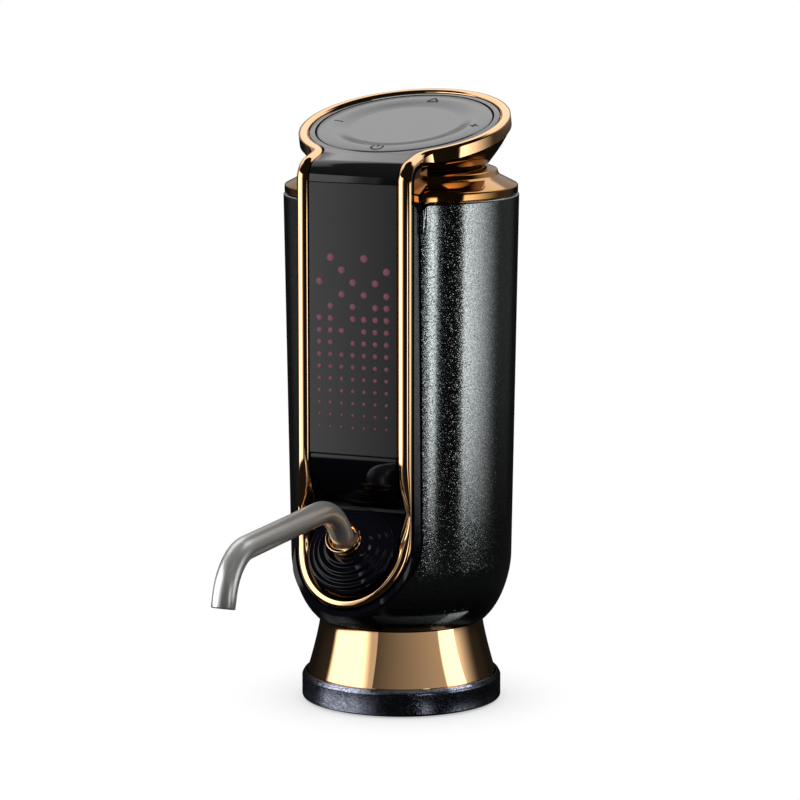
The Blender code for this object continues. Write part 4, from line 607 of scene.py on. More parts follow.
@dataclass(frozen=True)
class FlakePaint(Finish):
    """Dark paint with fine metal flakes under clear lacquer."""

    dark: Colour = (0.155, 0.172, 0.175)
    flake: Colour = (0.42, 0.455, 0.45)
    flake_size: float = 0.15 * MM
    flake_share: float = 0.40
    tilt: float = 0.07
    stray_tilt: float = 0.33
    stray_size: float = 1.6
    stray_above: float = 0.82
    roughness: float = 0.12
    coat: float = 1.0
    # painted shade: colour and lacquer darken towards black below a height, over a soft band, down to a small
    # share
    shade_below: float = 7 * MM
    shade_over: float = 12 * MM
    least_light: float = 0.03

    def fixed(self) -> dict[str, object]:
        """Flakes are metal, and the lacquer over them is polished."""
        return {"Metallic": 1.0, "Coat Roughness": 0.04, "Coat IOR": 1.5}

    def paint(self, graph: Graph) -> dict[str, object]:
        """Gives each flake its own brightness and tilt, and paints shade in towards a low edge.

        Args:
            graph: the material's graph.

        Returns:
            The sockets that vary.
        """
        chance, colour = graph.cells(self.flake_size)
        bright = chance.above(1 - self.flake_share, 0.25)
        drift = graph.noise(30 * MM, 1.0) * 0.1 + 0.95
        # painted shade: the share of colour and lacquer left, falling towards the bottom
        painted = (graph.axes()[2] * PER_MM).above(self.shade_below * PER_MM, self.shade_over * PER_MM)
        lit_share = painted * (1 - self.least_light) + self.least_light
        stray, _ = graph.cells(self.flake_size * self.stray_size)
        tilt = stray.above(self.stray_above, 0.02) * (self.stray_tilt - self.tilt) + self.tilt
        offset = graph.vector("SUBTRACT", {0: colour, 1: (0.5, 0.5, 0.5)})
        lean = graph.vector("SCALE", {0: offset, "Scale": tilt})
        normal = graph.add("ShaderNodeNewGeometry").outputs["Normal"]
        return {
            "Base Color": graph.mix(lit_share, (0.0, 0.0, 0.0), graph.mix(bright * drift, self.dark, self.flake)),
            "Coat Weight": lit_share * self.coat,
            "Roughness": graph.noise(20 * MM, 1.0) * 0.02 + (self.roughness - 0.01),
            "Normal": graph.vector("NORMALIZE", {0: graph.vector("ADD", {0: normal, 1: lean})}),
        }


@dataclass(frozen=True)
class GoldChrome(Finish):
    """Copper-gold mirror plating, with the faint haze and ripple of a plated surface."""

    bright: Colour = (0.95, 0.59, 0.32)
    deep: Colour = (0.92, 0.54, 0.26)
    roughness: float = 0.05
    cloud: float = 14 * MM
    ripple: float = 5 * MM

    def fixed(self) -> dict[str, object]:
        """Plating is all metal."""
        return {"Metallic": 1.0}

    def paint(self, graph: Graph) -> dict[str, object]:
        """Drifts a little in colour and polish.

        Args:
            graph: the material's graph.

        Returns:
            The sockets that vary.
        """
        drift = graph.noise(self.cloud, 2.0)
        haze = graph.noise(1.2 * MM, 4.0)
        return {
            "Base Color": graph.mix(drift, self.deep, self.bright),
            "Roughness": haze * 0.05 + (self.roughness - 0.02),
            "Normal": graph.bump(graph.noise(self.ripple, 1.0), 0.06, 0.05 * MM),
        }


@dataclass(frozen=True)
class GlossPlastic(Finish):
    """Moulded plastic polished to a piano gloss, with faint swirls from wiping."""

    colour: Colour = (0.002, 0.002, 0.004)
    roughness: float = 0.05
    ior: float = 1.38

    def fixed(self) -> dict[str, object]:
        """A plain lacquered plastic."""
        return {"IOR": self.ior}

    def paint(self, graph: Graph) -> dict[str, object]:
        """Varies the polish and the pigment slightly.

        Args:
            graph: the material's graph.

        Returns:
            The sockets that vary.
        """
        wiped = graph.noise(3 * MM, 5.0, 0.7)
        pale = tuple(part * 1.6 + 0.0005 for part in self.colour)
        return {
            "Base Color": graph.mix(graph.noise(20 * MM, 2.0), self.colour, pale),
            "Roughness": wiped * 0.05 + (self.roughness - 0.025),
        }


@dataclass(frozen=True)
class SatinSteel(Finish):
    """Stainless steel with a fine blasted satin."""

    colour: Colour = (0.76, 0.77, 0.75)
    roughness: float = 0.32
    grain: float = 0.12 * MM

    def fixed(self) -> dict[str, object]:
        """Bare metal, whose blasting scatters some of the light."""
        return {"Metallic": 0.86}

    def paint(self, graph: Graph) -> dict[str, object]:
        """Adds the blasted grain, and the uneven sheen of handling.

        Args:
            graph: the material's graph.

        Returns:
            The sockets that vary.
        """
        grain = graph.noise(self.grain, 2.0)
        worn = graph.noise(6 * MM, 3.0)
        dull = tuple(part * 0.93 for part in self.colour)
        return {
            "Base Color": graph.mix(worn, dull, self.colour),
            "Roughness": worn * 0.04 + grain * 0.04 + (self.roughness - 0.04),
            "Normal": graph.bump(grain, 0.25, 0.01 * MM),
        }


@dataclass(frozen=True)
class MattPlastic(Finish):
    """Moulded plastic or rubber with a fine spark-eroded texture."""

    colour: Colour = (0.02, 0.02, 0.022)
    roughness: float = 0.5
    grain: float = 0.2 * MM
    ior: float = 1.5

    def fixed(self) -> dict[str, object]:
        """A plain moulding."""
        return {"IOR": self.ior}

    def paint(self, graph: Graph) -> dict[str, object]:
        """Adds the texture and a little variation of tone.

        Args:
            graph: the material's graph.

        Returns:
            The sockets that vary.
        """
        grain = graph.noise(self.grain, 2.0)
        tone = graph.noise(7 * MM, 3.0)
        pale = tuple(min(part * 1.35 + 0.003, 1.0) for part in self.colour)
        return {
            "Base Color": graph.mix(tone, self.colour, pale),
            "Roughness": grain * 0.12 + (self.roughness - 0.06),
            "Normal": graph.bump(grain, 0.35, 0.02 * MM),
        }


@dataclass(frozen=True)
class PatternBoard(Finish):
    """Circuit board: solder mask over faint traces."""

    mask: Colour = (0.012, 0.09, 0.04)
    trace: Colour = (0.03, 0.2, 0.09)

    def paint(self, graph: Graph) -> dict[str, object]:
        """Draws traces under the mask.

        Args:
            graph: the material's graph.

        Returns:
            The sockets that vary.
        """
        sockets = {"Vector": graph.place(), "Scale": 260.0}
        wave = graph.add("ShaderNodeTexWave", {"wave_profile": "SIN"}, sockets)
        chance, _ = graph.cells(4 * MM)
        line = graph.wire(wave.outputs[1]).above(0.7, 0.1) * chance.above(0.45, 0.02)
        return {
            "Base Color": graph.mix(line, self.mask, self.trace),
            "Roughness": line * 0.1 + 0.32,
        }


class Palette:
    """The finishes of the photographed unit and of what is inside it."""

    SHELL = FlakePaint("flake paint", "sparkle_paint")
    BASE = FlakePaint(
        "base flake paint",
        "matt_black",
        dark=(0.09, 0.10, 0.13),
        flake=(0.42, 0.45, 0.58),
        flake_share=0.35,
        tilt=0.12,
        stray_tilt=0.3,
        roughness=0.22,
        coat=0.4,
        # the painted shade of the low edge is put out of reach on the base
        shade_below=-FAR,
    )
    GOLD = GoldChrome("gold chrome", "gold_chrome")
    # painted shade: a darker copy of the gold chrome, for the collar, the bowl and the housing's plated sides
    SHADED_GOLD = GoldChrome(
        "shaded gold chrome", "gold_chrome", bright=(0.66, 0.35, 0.13), deep=(0.58, 0.29, 0.09)
    )
    BLACK = GlossPlastic("gloss black", "gloss_black")
    # painted highlight: the plate and the pad are lit copies of the gloss black, whose high IOR, and the
    # pad's paler colour, stand in for the light from above the head
    PLATE = GlossPlastic("plate gloss black", "gloss_black", roughness=0.06, ior=2.0)
    PAD = GlossPlastic("pad gloss black", "gloss_black", colour=(0.02, 0.02, 0.021), roughness=0.17, ior=2.05)
    SMOKE = GlossPlastic(
        "smoked acrylic", "smoked_acrylic", colour=(0.004, 0.004, 0.0042), roughness=0.06, ior=1.37
    )
    LAMP = MattPlastic("lamp rose", "smoked_acrylic", colour=(0.17, 0.032, 0.062), roughness=0.3)
    # painted shadow: the darker rim round each lamp
    LAMP_SHADOW_RIM = MattPlastic("lamp rim", "smoked_acrylic", colour=(0.05, 0.009, 0.02), roughness=0.35)
    MARK = MattPlastic("icon ink", "matt_black", colour=(0.03, 0.03, 0.032), roughness=0.6, ior=1.03)
    STEEL = SatinSteel("satin steel", "steel")
    PORT = SatinSteel("port steel", "steel", roughness=0.4)
    SILICONE = MattPlastic("silicone", "silicone", colour=(0.10, 0.10, 0.105), roughness=0.6)
    MATT = MattPlastic("matt black", "matt_black")
    BOARD = PatternBoard("circuit board", "circuit_board")
    CLEAR = GlossPlastic("clear plastic", "clear_plastic", colour=(0.5, 0.5, 0.5), roughness=0.15)
    SLEEVE = MattPlastic("blue sleeve", "blue_sleeve", colour=(0.04, 0.13, 0.4), roughness=0.35)
    FILM = MattPlastic("amber film", "amber_film", colour=(0.4, 0.17, 0.04), roughness=0.35)
    INSIDE: dict[str, Finish] = {
        finish.slot: finish
        for finish in (SHELL, GOLD, BLACK, MATT, STEEL, SILICONE, SMOKE, BOARD, CLEAR, SLEEVE, FILM)
    }


def deliver(
    piece: bpy.types.Object,
    place: Matrix,
    body: Body,
    finishes: Finish | Sequence[Finish],
    node: str = "",
    smooth: float = 0,
) -> None:
    """Shades and settles a finished piece, dresses it and hangs it on its body.

    Args:
        piece: the piece, in its sub-assembly's frame.
        place: that frame.
        body: the CAD body that it rides on.
        finishes: its finish, or one for each of its material slots.
        node: the CAD node that it stands for, if it stands for one.
        smooth: the angle, in degrees, up to which its edges are shaded smooth, or 0 to leave them.
    """
    if smooth:
        Bench.shade(piece, smooth)
    Bench.settle(piece, place)
    several = [finishes] if isinstance(finishes, Finish) else list(finishes)
    materials = piece.data.materials
    for index, finish in enumerate(several):
        if index < len(materials):
            materials[index] = finish.material()
        else:
            materials.append(finish.material())
    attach(piece, body.value)
    if node:
        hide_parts(node)
    log.info("%s: %d faces for %s", piece.name, len(piece.data.polygons), node or "detail")


# Shape of the front


@dataclass
class FacePlan:
    """The face that runs from the tilted head, round a bend, down the upright front."""

    depth: float = 30.3 * MM
    bend_radius: float = 5.0 * MM
    head_height: float = HEAD_HEIGHT
    head_setback: float = HEAD_SETBACK
    half_width: float = 11.9 * MM
    plate: float = 1.5 * MM
    housing_half_width: float = 15.8 * MM
    rim_centre: float = 45.9 * MM
    rim_reach: float = 8.0 * MM
    rim_power: float = 1.3
    niche_top: float = 67.6 * MM
    niche_bend: float = 7.5 * MM
    hub_depth: float = HUB_DEPTH
    hub_height: float = HUB_HEIGHT
    hub_radius: float = 11.85 * MM
    shell_top: float = 131.2 * MM
    halvings: int = 24

    def bend_start(self) -> float:
        """How far in front of the pad's centre the face starts to bend down."""
        rounding = self.bend_radius * (1 - math.sin(HEAD_TILT))
        return (self.depth + self.head_setback - rounding) / math.cos(HEAD_TILT)

    def bend_centre(self) -> Point2:
        """Where the bend's axis is.

        Returns:
            Its (depth, height).
        """
        start = self.bend_start()
        out = start * math.cos(HEAD_TILT) - self.bend_radius * math.sin(HEAD_TILT) - self.head_setback
        up = self.head_height - start * math.sin(HEAD_TILT) - self.bend_radius * math.cos(HEAD_TILT)
        return out, up

    def bend_length(self) -> float:
        """The length of the bend along the face."""
        return self.bend_radius * (math.pi / 2 - HEAD_TILT)

    def along_at(self, height: float) -> float:
        """The distance along the face of a height on the upright front."""
        return self.bend_start() + self.bend_length() + self.bend_centre()[1] - height

    def bulge(self, height: float) -> float:
        """How far the rim leans forward of the face at a height."""
        share = max(0.0, (self.rim_centre - height) / self.housing_half_width)
        return self.rim_reach * share**self.rim_power

    def point(self, across: float, along: float, proud: float) -> Vector:
        """Wraps a point of the flat face onto the head plane, the bend and the upright front.

        Args:
            across: its distance to the right of the middle.
            along: its distance along the face from the pad's centre.
            proud: its height off the face.

        Returns:
            The point.
        """
        past = along - self.bend_start()
        if past <= 0:
            out = along * math.cos(HEAD_TILT) + proud * math.sin(HEAD_TILT) - self.head_setback
            up = self.head_height - along * math.sin(HEAD_TILT) + proud * math.cos(HEAD_TILT)
            return Vector((across, -out, up))
        centre_out, centre_up = self.bend_centre()
        turn = HEAD_TILT + min(past, self.bend_length()) / self.bend_radius
        reach = self.bend_radius + proud
        out = centre_out + reach * math.sin(turn)
        up = centre_up + reach * math.cos(turn) - max(0.0, past - self.bend_length())
        return Vector((across, -out - self.bulge(up), up))

    def hub_plane(self, height: float) -> float:
        """The depth of the plane that the hub stands on."""
        return self.hub_depth + (self.hub_height - height) * math.tan(SPOUT_ANGLE)

    def niche_low(self) -> float:
        """The height at which the scoop meets the hub's plane."""
        return self.hub_height + self.hub_radius * math.cos(SPOUT_ANGLE)

    def niche_point(self, share: float) -> Point2:
        """A point of the scoop.

        Args:
            share: how far along the scoop it is, from 0 at the face to 1 at the hub's plane.

        Returns:
            Its (depth, height).
        """
        low = self.niche_low()
        corners = (
            (self.depth, self.niche_top),
            (self.depth, self.niche_top - self.niche_bend),
            (self.hub_plane(low), low),
        )
        weights = ((1 - share) ** 2, 2 * share * (1 - share), share**2)
        out = sum(weight * corner[0] for weight, corner in zip(weights, corners))
        up = sum(weight * corner[1] for weight, corner in zip(weights, corners))
        return out, up

    def niche_depth(self, height: float) -> float:
        """The depth of the recessed face.

        Args:
            height: a height above the foot.

        Returns:
            The depth there.
        """
        if height >= self.niche_top:
            return self.depth
        if height <= self.niche_low():
            return self.hub_plane(height)
        low, high = 0.0, 1.0
        for _ in range(self.halvings):
            middle = (low + high) / 2
            if self.niche_point(middle)[1] > height:
                low = middle
            else:
                high = middle
        return self.niche_point(low)[0]

    def slot(self, half_width: float, top: float, lip: float = 0.0, steps: int = 48) -> list[Point2]:
        """An upright slot, round at the bottom, where a lip may widen it.

        Args:
            half_width: half its width.
            top: the height of its open top.
            lip: how much wider the round part is.
            steps: the number of chords in the round part.

        Returns:
            (across, height) of its points.
        """
        points = [(half_width, top)]
        for step in range(steps + 1):
            turn = math.pi * step / steps
            reach = half_width + lip * ease(2 * math.sin(turn))
            points.append((reach * math.cos(turn), self.rim_centre - reach * math.sin(turn)))
        return points + [(-half_width, top)]


@dataclass
class TrimPlan:
    """The line that the trim follows round the head and the front, and its sections."""

    face: FacePlan
    head_radius: float = 24.3 * MM
    head_width: float = 2.5 * MM
    rail_width: float = 3.3 * MM
    crest: float = 0.7 * MM
    head_drop: float = 2.8 * MM
    rail_drop: float = 1.0 * MM
    fillet: float = 8.0 * MM
    round_radius: float = 1.9 * MM
    scoop: float = 0.80
    sink: float = 0.1 * MM
    head_power: float = 0.4
    head_steps: int = 56
    fillet_steps: int = 16
    bend_steps: int = 12
    niche_steps: int = 24
    drop_steps: int = 8
    foot_steps: int = 24

    def half_line(self) -> list[Corner]:
        """Half of the line, from the back of the head to the lowest point.

        Returns:
            (across, along, share) of its points, where the share goes from 0 on the head to 1 in front.
        """
        face = self.face
        disc = self.head_radius + HAIR + self.head_width / 2
        rail = face.half_width + HAIR + self.rail_width / 2
        reach = disc + self.fillet
        across = rail + self.fillet
        along = math.sqrt(reach**2 - across**2)
        swing = math.atan2(across, along)
        line: list[Corner] = []
        for step in range(self.head_steps + 1):
            turn = math.pi - (math.pi - swing) * step / self.head_steps
            line.append((disc * math.sin(turn), disc * math.cos(turn), 0.0))
        for step in range(1, self.fillet_steps + 1):
            turn = swing + (math.pi / 2 - swing) * step / self.fillet_steps
            spot = (across - self.fillet * math.sin(turn), along - self.fillet * math.cos(turn))
            line.append((*spot, step / self.fillet_steps))
        for step in range(self.bend_steps + 1):
            line.append((rail, face.bend_start() + face.bend_length() * step / self.bend_steps, 1.0))
        low, bend, steps = face.niche_low(), face.niche_top + face.niche_bend / 2, self.niche_steps
        heights = [face.niche_top + face.niche_bend * 1.2]
        heights += [blend(bend, low, step / steps) for step in range(steps + 1)]
        heights += [blend(low, face.rim_centre, step / self.drop_steps) for step in range(1, self.drop_steps)]
        line += [(rail, face.along_at(height), 1.0) for height in heights]
        centre = face.along_at(face.rim_centre)
        for step in range(self.foot_steps):
            turn = math.pi / 2 * (step + 0.5) / self.foot_steps
            line.append((rail * math.cos(turn), centre + rail * math.sin(turn), 1.0))
        line.append((0.0, centre + rail, 1.0))
        return line

    def crown(self, steps: int = 20) -> list[Rib]:
        """The top of the section: low on the head, round in front, where its outer side falls away.

        Args:
            steps: the number of chords across it.

        Returns:
            (side, proud on the head, proud in front) of its points.
        """
        half = self.rail_width / 2
        fall = self.round_radius - self.crest
        crest = math.sqrt(self.round_radius**2 - fall**2) - half
        points = []
        for step in range(steps + 1):
            side = -math.cos(math.pi * step / steps)
            low = self.crest * max(1 - side**2, 0) ** self.head_power - self.sink
            reach = side * half - crest
            points.append((side, low, math.sqrt(self.round_radius**2 - reach**2) - fall))
        return points

    def rings(self, profile: Sequence[Rib], spread: float, spare: float) -> list[list[Vector]]:
        """Sweeps a profile round the line.

        Args:
            profile: (side, proud on the head, proud in front) points; side is -1 at the inner edge and
                1 at the outer, and proud is None at the underside.
            spread: how much wider it is on both sides.
            spare: how much deeper the underside is.

        Returns:
            One ring of points for each step of the line.
        """
        face = self.face
        half_line = self.half_line()
        line = half_line + [(-across, along, share) for across, along, share in half_line[-2:0:-1]]
        rings = []
        for index, (across, along, share) in enumerate(line):
            before = line[index - 1]
            after = line[(index + 1) % len(line)]
            step = Vector((after[0] - before[0], after[1] - before[1])).normalized()
            outward = Vector((step.y, -step.x))
            half = blend(self.head_width, self.rail_width, share) / 2
            drop = blend(self.head_drop, self.rail_drop, share)
            ring = []
            for side, head, rail in profile:
                reach = side * half + math.copysign(spread, side)
                spot = Vector((across, along)) + outward * reach
                lift = -drop - spare if head is None or rail is None else blend(head, rail, share)
                height = face.point(spot.x, spot.y, 0).z
                inner = max(0.0, (half - reach) / (2 * half))
                scoop = max(0.0, face.depth - face.niche_depth(height)) * self.scoop * inner
                ring.append(face.point(spot.x, spot.y, lift - scoop))
            rings.append(ring)
        return rings


# Sub-assemblies


@dataclass
class Base:
    """Foot pad, base ring, gold flare and the bottle socket inside them."""

    ring_radius: float = 25.7 * MM
    lip_radius: float = 25.0 * MM
    lip_wall: float = 0.45 * MM
    ring_top: float = 7.2 * MM
    stand: float = 0.4 * MM
    floor_top: float = 3.0 * MM
    mouth_radius: float = 17.2 * MM
    foot_inner: float = 19.0 * MM
    foot_outer: float = 24.0 * MM
    foot_height: float = 1.4 * MM
    grooves: int = 3
    groove_half: float = 0.35 * MM
    groove_depth: float = 0.25 * MM
    flare_top_radius: float = 21.0 * MM
    flare_top: float = 21.5 * MM
    flare_power: float = 1.25
    flare_steps: int = 32
    flare_inset: float = 0.7 * MM
    flare_wall: float = 1.6 * MM
    flare_mouth: float = 1.9 * MM
    flare_shoulder: float = 19.4 * MM
    socket_radius: float = 16.5 * MM
    sleeve_wall: float = 1.6 * MM
    flange_radius: float = 20.8 * MM
    flange_base: float = 23.9 * MM
    flange_top: float = 25.7 * MM
    seal_radius: float = 15.0 * MM
    seal_rise: float = 3.7 * MM
    skirt_depth: float = 7.5 * MM
    rib_pitch: float = 2.5 * MM
    rib_half: float = 0.4 * MM
    rib_reach: float = 0.3 * MM
    port_offset: float = 4.5 * MM
    wine_port: float = 1.5 * MM
    air_port: float = 1.0 * MM

    def make_foot(self) -> None:
        """The soft ring that the unit stands on, grooved so that it grips."""
        inner, outer, top = self.foot_inner, self.foot_outer, self.foot_height
        corners = [(inner, 0.15 * MM, 0.1 * MM), (inner + HAIR, 0, 0.1 * MM)]
        for groove in range(1, self.grooves + 1):
            middle = blend(inner, outer, groove / (self.grooves + 1))
            corners.append((middle - self.groove_half, 0, 0))
            corners += [(middle, self.groove_depth, 0.1 * MM), (middle + self.groove_half, 0, 0)]
        corners += [(outer - HAIR, 0, 0.1 * MM), (outer, HAIR, 0.2 * MM)]
        corners += [(outer, top, 0.1 * MM), (inner, top, 0.1 * MM)]
        piece = Bench.turn("foot_pad_ring", rounded(corners, 3), 96)
        deliver(piece, DEVICE, Body.SHELL, Palette.SILICONE, "foot_pad", smooth=35)

    def make_ring(self) -> None:
        """The painted base ring with its raised lip round the flare."""
        wall = self.lip_radius - self.lip_wall
        corners = [
            (self.mouth_radius, self.stand, 0.4 * MM),
            (self.foot_inner - HAIR, self.stand, 0.1 * MM),
            (self.foot_inner - HAIR, self.foot_height + HAIR, 0),
            (self.foot_outer + HAIR, self.foot_height + HAIR, 0),
            (self.foot_outer + HAIR, self.stand, 0.1 * MM),
            (self.ring_radius, self.stand, 0.8 * MM),
            (self.ring_radius, self.ring_top - 1.1 * MM, 0.9 * MM),
            (self.lip_radius + 0.1 * MM, self.ring_top, 0.25 * MM),
            (wall, self.ring_top, 0.12 * MM),
            (wall, self.floor_top, 0),
            (self.mouth_radius, self.floor_top, 0.2 * MM),
        ]
        piece = Bench.turn("base_ring_painted", rounded(corners, 6), 160)
        deliver(piece, DEVICE, Body.SHELL, Palette.BASE, "base_ring", smooth=35)

    def make_flare(self) -> None:
        """The gold flare, which spreads in one sweep down to the ring."""
        foot, bottom, top = self.lip_radius - self.flare_inset, self.floor_top + HAIR, self.flare_top
        lip = self.socket_radius + self.flare_mouth
        inside, under = foot - self.flare_wall, top - self.flare_wall
        sweep = []
        for step in range(self.flare_steps + 1):
            share = step / self.flare_steps
            swell = (1 - share) ** self.flare_power
            height = blend(self.ring_top, top - HAIR, share)
            sweep.append((blend(self.flare_top_radius, foot, swell), height, 0))
        corners = [(foot, bottom, 0.2 * MM), *sweep, (self.flare_top_radius - HAIR, top, 0.15 * MM)]
        corners += [(lip, top, 0.2 * MM), (lip, under, 0), (self.flare_shoulder, under, 1.0 * MM)]
        corners += [(inside, self.ring_top, 0), (inside, bottom, 0)]
        piece = Bench.turn("base_flare_plated", rounded(corners, 4), 160)
        deliver(piece, DEVICE, Body.SHELL, Palette.GOLD, "base_flare", smooth=35)

    def make_socket(self) -> None:
        """The sleeve that a bottle's neck goes up into."""
        bore, outer = self.socket_radius, self.socket_radius + self.sleeve_wall
        flange, flange_base, flange_top = self.flange_radius, self.flange_base, self.flange_top
        corners = [
            (bore, self.floor_top + HAIR, 0.4 * MM),
            (outer, self.floor_top + HAIR, 0.2 * MM),
            (outer, flange_base, 0),
            (flange, flange_base, 0.2 * MM),
            (flange, flange_top, 0.2 * MM),
            (bore, flange_top, 0),
        ]
        piece = Bench.turn("socket_sleeve_moulded", rounded(corners, 4), 96)
        deliver(piece, DEVICE, Body.SHELL, Palette.MATT, "socket_sleeve", smooth=35)

    def make_seal(self) -> None:
        """The ribbed seal round the bottle's mouth, with its wine port and its air port."""
        inner, outer = self.seal_radius, self.socket_radius - HAIR
        skirt, top = SEAT_HEIGHT - self.skirt_depth, SEAT_HEIGHT + self.seal_rise
        corners = [(0, SEAT_HEIGHT, 0), (inner, SEAT_HEIGHT, 0.25 * MM)]
        for rib in (1, 2):
            middle = SEAT_HEIGHT - self.rib_pitch * rib
            corners += [(inner, middle + self.rib_half, 0.2 * MM), (inner - self.rib_reach, middle, 0.2 * MM)]
            corners.append((inner, middle - self.rib_half, 0.2 * MM))
        corners += [(inner, skirt, 0.25 * MM), (outer, skirt, 0.25 * MM), (outer, top, 0.2 * MM), (0, top, 0)]
        piece = Bench.turn("bottle_seal_ribbed", rounded(corners, 4, closed=False), 96, closed=False)
        for place, radius in ((-self.port_offset, self.wine_port), (self.port_offset, self.air_port)):
            Bench.combine(piece, Bench.rod(radius, 8 * MM, 32, (0, place, SEAT_HEIGHT + 2 * MM)))
        deliver(piece, DEVICE, Body.SHELL, Palette.SILICONE, "bottle_seal", smooth=35)

    def make(self) -> None:
        """Makes the whole base."""
        self.make_foot()
        self.make_ring()
        self.make_flare()
        self.make_socket()
        self.make_seal()


@dataclass
class Shell:
    """The painted body shell, with its front opening and the charging port in its back."""

    face: FacePlan
    radius: float = 30.0 * MM
    taper: float = 1.6 * MM
    bowl_top: float = 38.1 * MM
    bowl_depth: float = 17.5 * MM
    bowl_neck: float = 19.5 * MM
    bowl_power: float = 1.7
    base: float = 21.8 * MM
    wall: float = 1.8 * MM
    bowl_thickening: float = 0.3
    corner: float = 3.5 * MM
    slot_half_width: float = 16.1 * MM
    port_height: float = 50.0 * MM
    port_half_width: float = 4.6 * MM
    port_half_height: float = 1.7 * MM
    port_wall: float = 0.4 * MM
    port_depth: float = 5.4 * MM
    tongue_half_height: float = 0.35 * MM
    side_steps: int = 11
    bowl_steps: int = 28
    inner_heights: tuple[float, ...] = (26 * MM, 29 * MM, 33 * MM)

    def radius_at(self, height: float) -> float:
        """The shell's outer radius.

        Args:
            height: a height above the foot.

        Returns:
            The radius there.
        """
        if height >= self.bowl_top:
            share = (height - self.bowl_top) / (self.face.shell_top - self.bowl_top)
            return self.radius - self.taper * (1 - share)
        share = min((self.bowl_top - height) / self.bowl_depth, 1)
        swell = (1 - share**self.bowl_power) ** (1 / self.bowl_power)
        return self.bowl_neck + (self.radius - self.taper - self.bowl_neck) * swell

    def opening(self) -> list[Vector]:
        """The outline of the front opening, rounded outwards at the shell's top edge.

        Returns:
            Its points, well in front of the shell.
        """
        top, steps = self.face.shell_top, 12
        points = self.face.slot(self.slot_half_width, top - self.corner, steps=72)
        side = []
        for step in range(steps + 1):
            turn = math.pi / 2 * step / steps
            across = self.slot_half_width + self.corner * (1 - math.cos(turn))
            side.append((across, top - self.corner * (1 - math.sin(turn))))
        side.append((self.slot_half_width + self.corner, top + 2 * MM))
        outline = side[:0:-1] + points + [(-across, height) for across, height in side[1:]]
        return [Vector((across, -FAR, height)) for across, height in outline]

    def port_outline(self, spread: float, depth: float) -> list[Vector]:
        """The round-ended outline of the charging port.

        Args:
            spread: how far outside the port's own outline it runs.
            depth: how far behind the axis it lies.

        Returns:
            Its points.
        """
        radius = self.port_half_height + spread
        centre = self.port_half_width - self.port_half_height
        points = []
        steps = 12
        for side in (1, -1):
            for step in range(steps + 1):
                turn = math.pi * (step / steps - 0.5)
                across = side * (centre + radius * math.cos(turn))
                points.append(Vector((across, depth, self.port_height + side * radius * math.sin(turn))))
        return points

    def make_shell(self) -> None:
        """Turns the shell, cuts its openings and rounds their edges."""
        top, thick = self.face.shell_top, self.wall
        corners = [(self.radius, top, 0.5 * MM)]
        for step in range(1, self.side_steps + 1):
            height = blend(top, self.bowl_top, step / self.side_steps)
            corners.append((self.radius_at(height), height, 0))
        for step in range(1, self.bowl_steps + 1):
            height = self.bowl_top - self.bowl_depth * math.sin(math.pi / 2 * step / self.bowl_steps)
            if height > self.base + 0.4 * MM:
                corners.append((self.radius_at(height), height, 0))
        corners.append((self.radius_at(self.base) + 0.1 * MM, self.base, 0.3 * MM))
        corners += [(self.bowl_neck, self.base, 0), (self.bowl_neck, self.base + thick, 0)]
        for height in (self.base + thick, *self.inner_heights, self.bowl_top, top):
            share = max(0.0, (self.bowl_top - height) / self.bowl_depth)
            corners.append((self.radius_at(height) - thick * (1 + self.bowl_thickening * share), height, 0))
        piece = Bench.turn("body_shell_painted", rounded(corners, 5), 192)
        opening = Bench.prism("opening_tool", self.opening(), Vector((0, FAR - 15 * MM, 0)))
        Bench.combine(piece, opening)
        port = Bench.prism("port_tool", self.port_outline(HAIR, 20 * MM), Vector((0, FAR, 0)))
        Bench.combine(piece, port)
        Bench.soften(piece, 0.35 * MM, 3, 42)
        deliver(piece, DEVICE, Body.SHELL, Palette.SHELL, "body_shell")

    def make_port(self) -> None:
        """The charging port: a rolled steel mouth with its tongue."""
        edge, half = self.radius_at(self.port_height) - self.port_wall, self.tongue_half_height
        # (spread, depth) of each ring, in millimetres, from inside the mouth, over its lip, to its back.
        steps = ((-0.4, 4.2), (-0.4, 0.1), (-0.3, 0), (-0.1, 0), (0, 0.1), (0, self.port_depth / MM))
        rings = [self.port_outline(spread * MM, edge - depth * MM) for spread, depth in steps]
        mouth = Bench.loft("charging_port_mouth", rings, looped=False)
        tongue = self.port_half_width - self.port_half_height
        low = Vector((-tongue, edge - 4.4 * MM, self.port_height - half))
        high = Vector((tongue, edge - 0.5 * MM, self.port_height + half))
        Bench.combine(mouth, Bench.block("tongue_tool", low, high), "UNION")
        deliver(mouth, DEVICE, Body.SHELL, Palette.PORT, "charging_port", smooth=35)

    def make(self) -> None:
        """Makes the shell and the port."""
        self.make_shell()
        self.make_port()


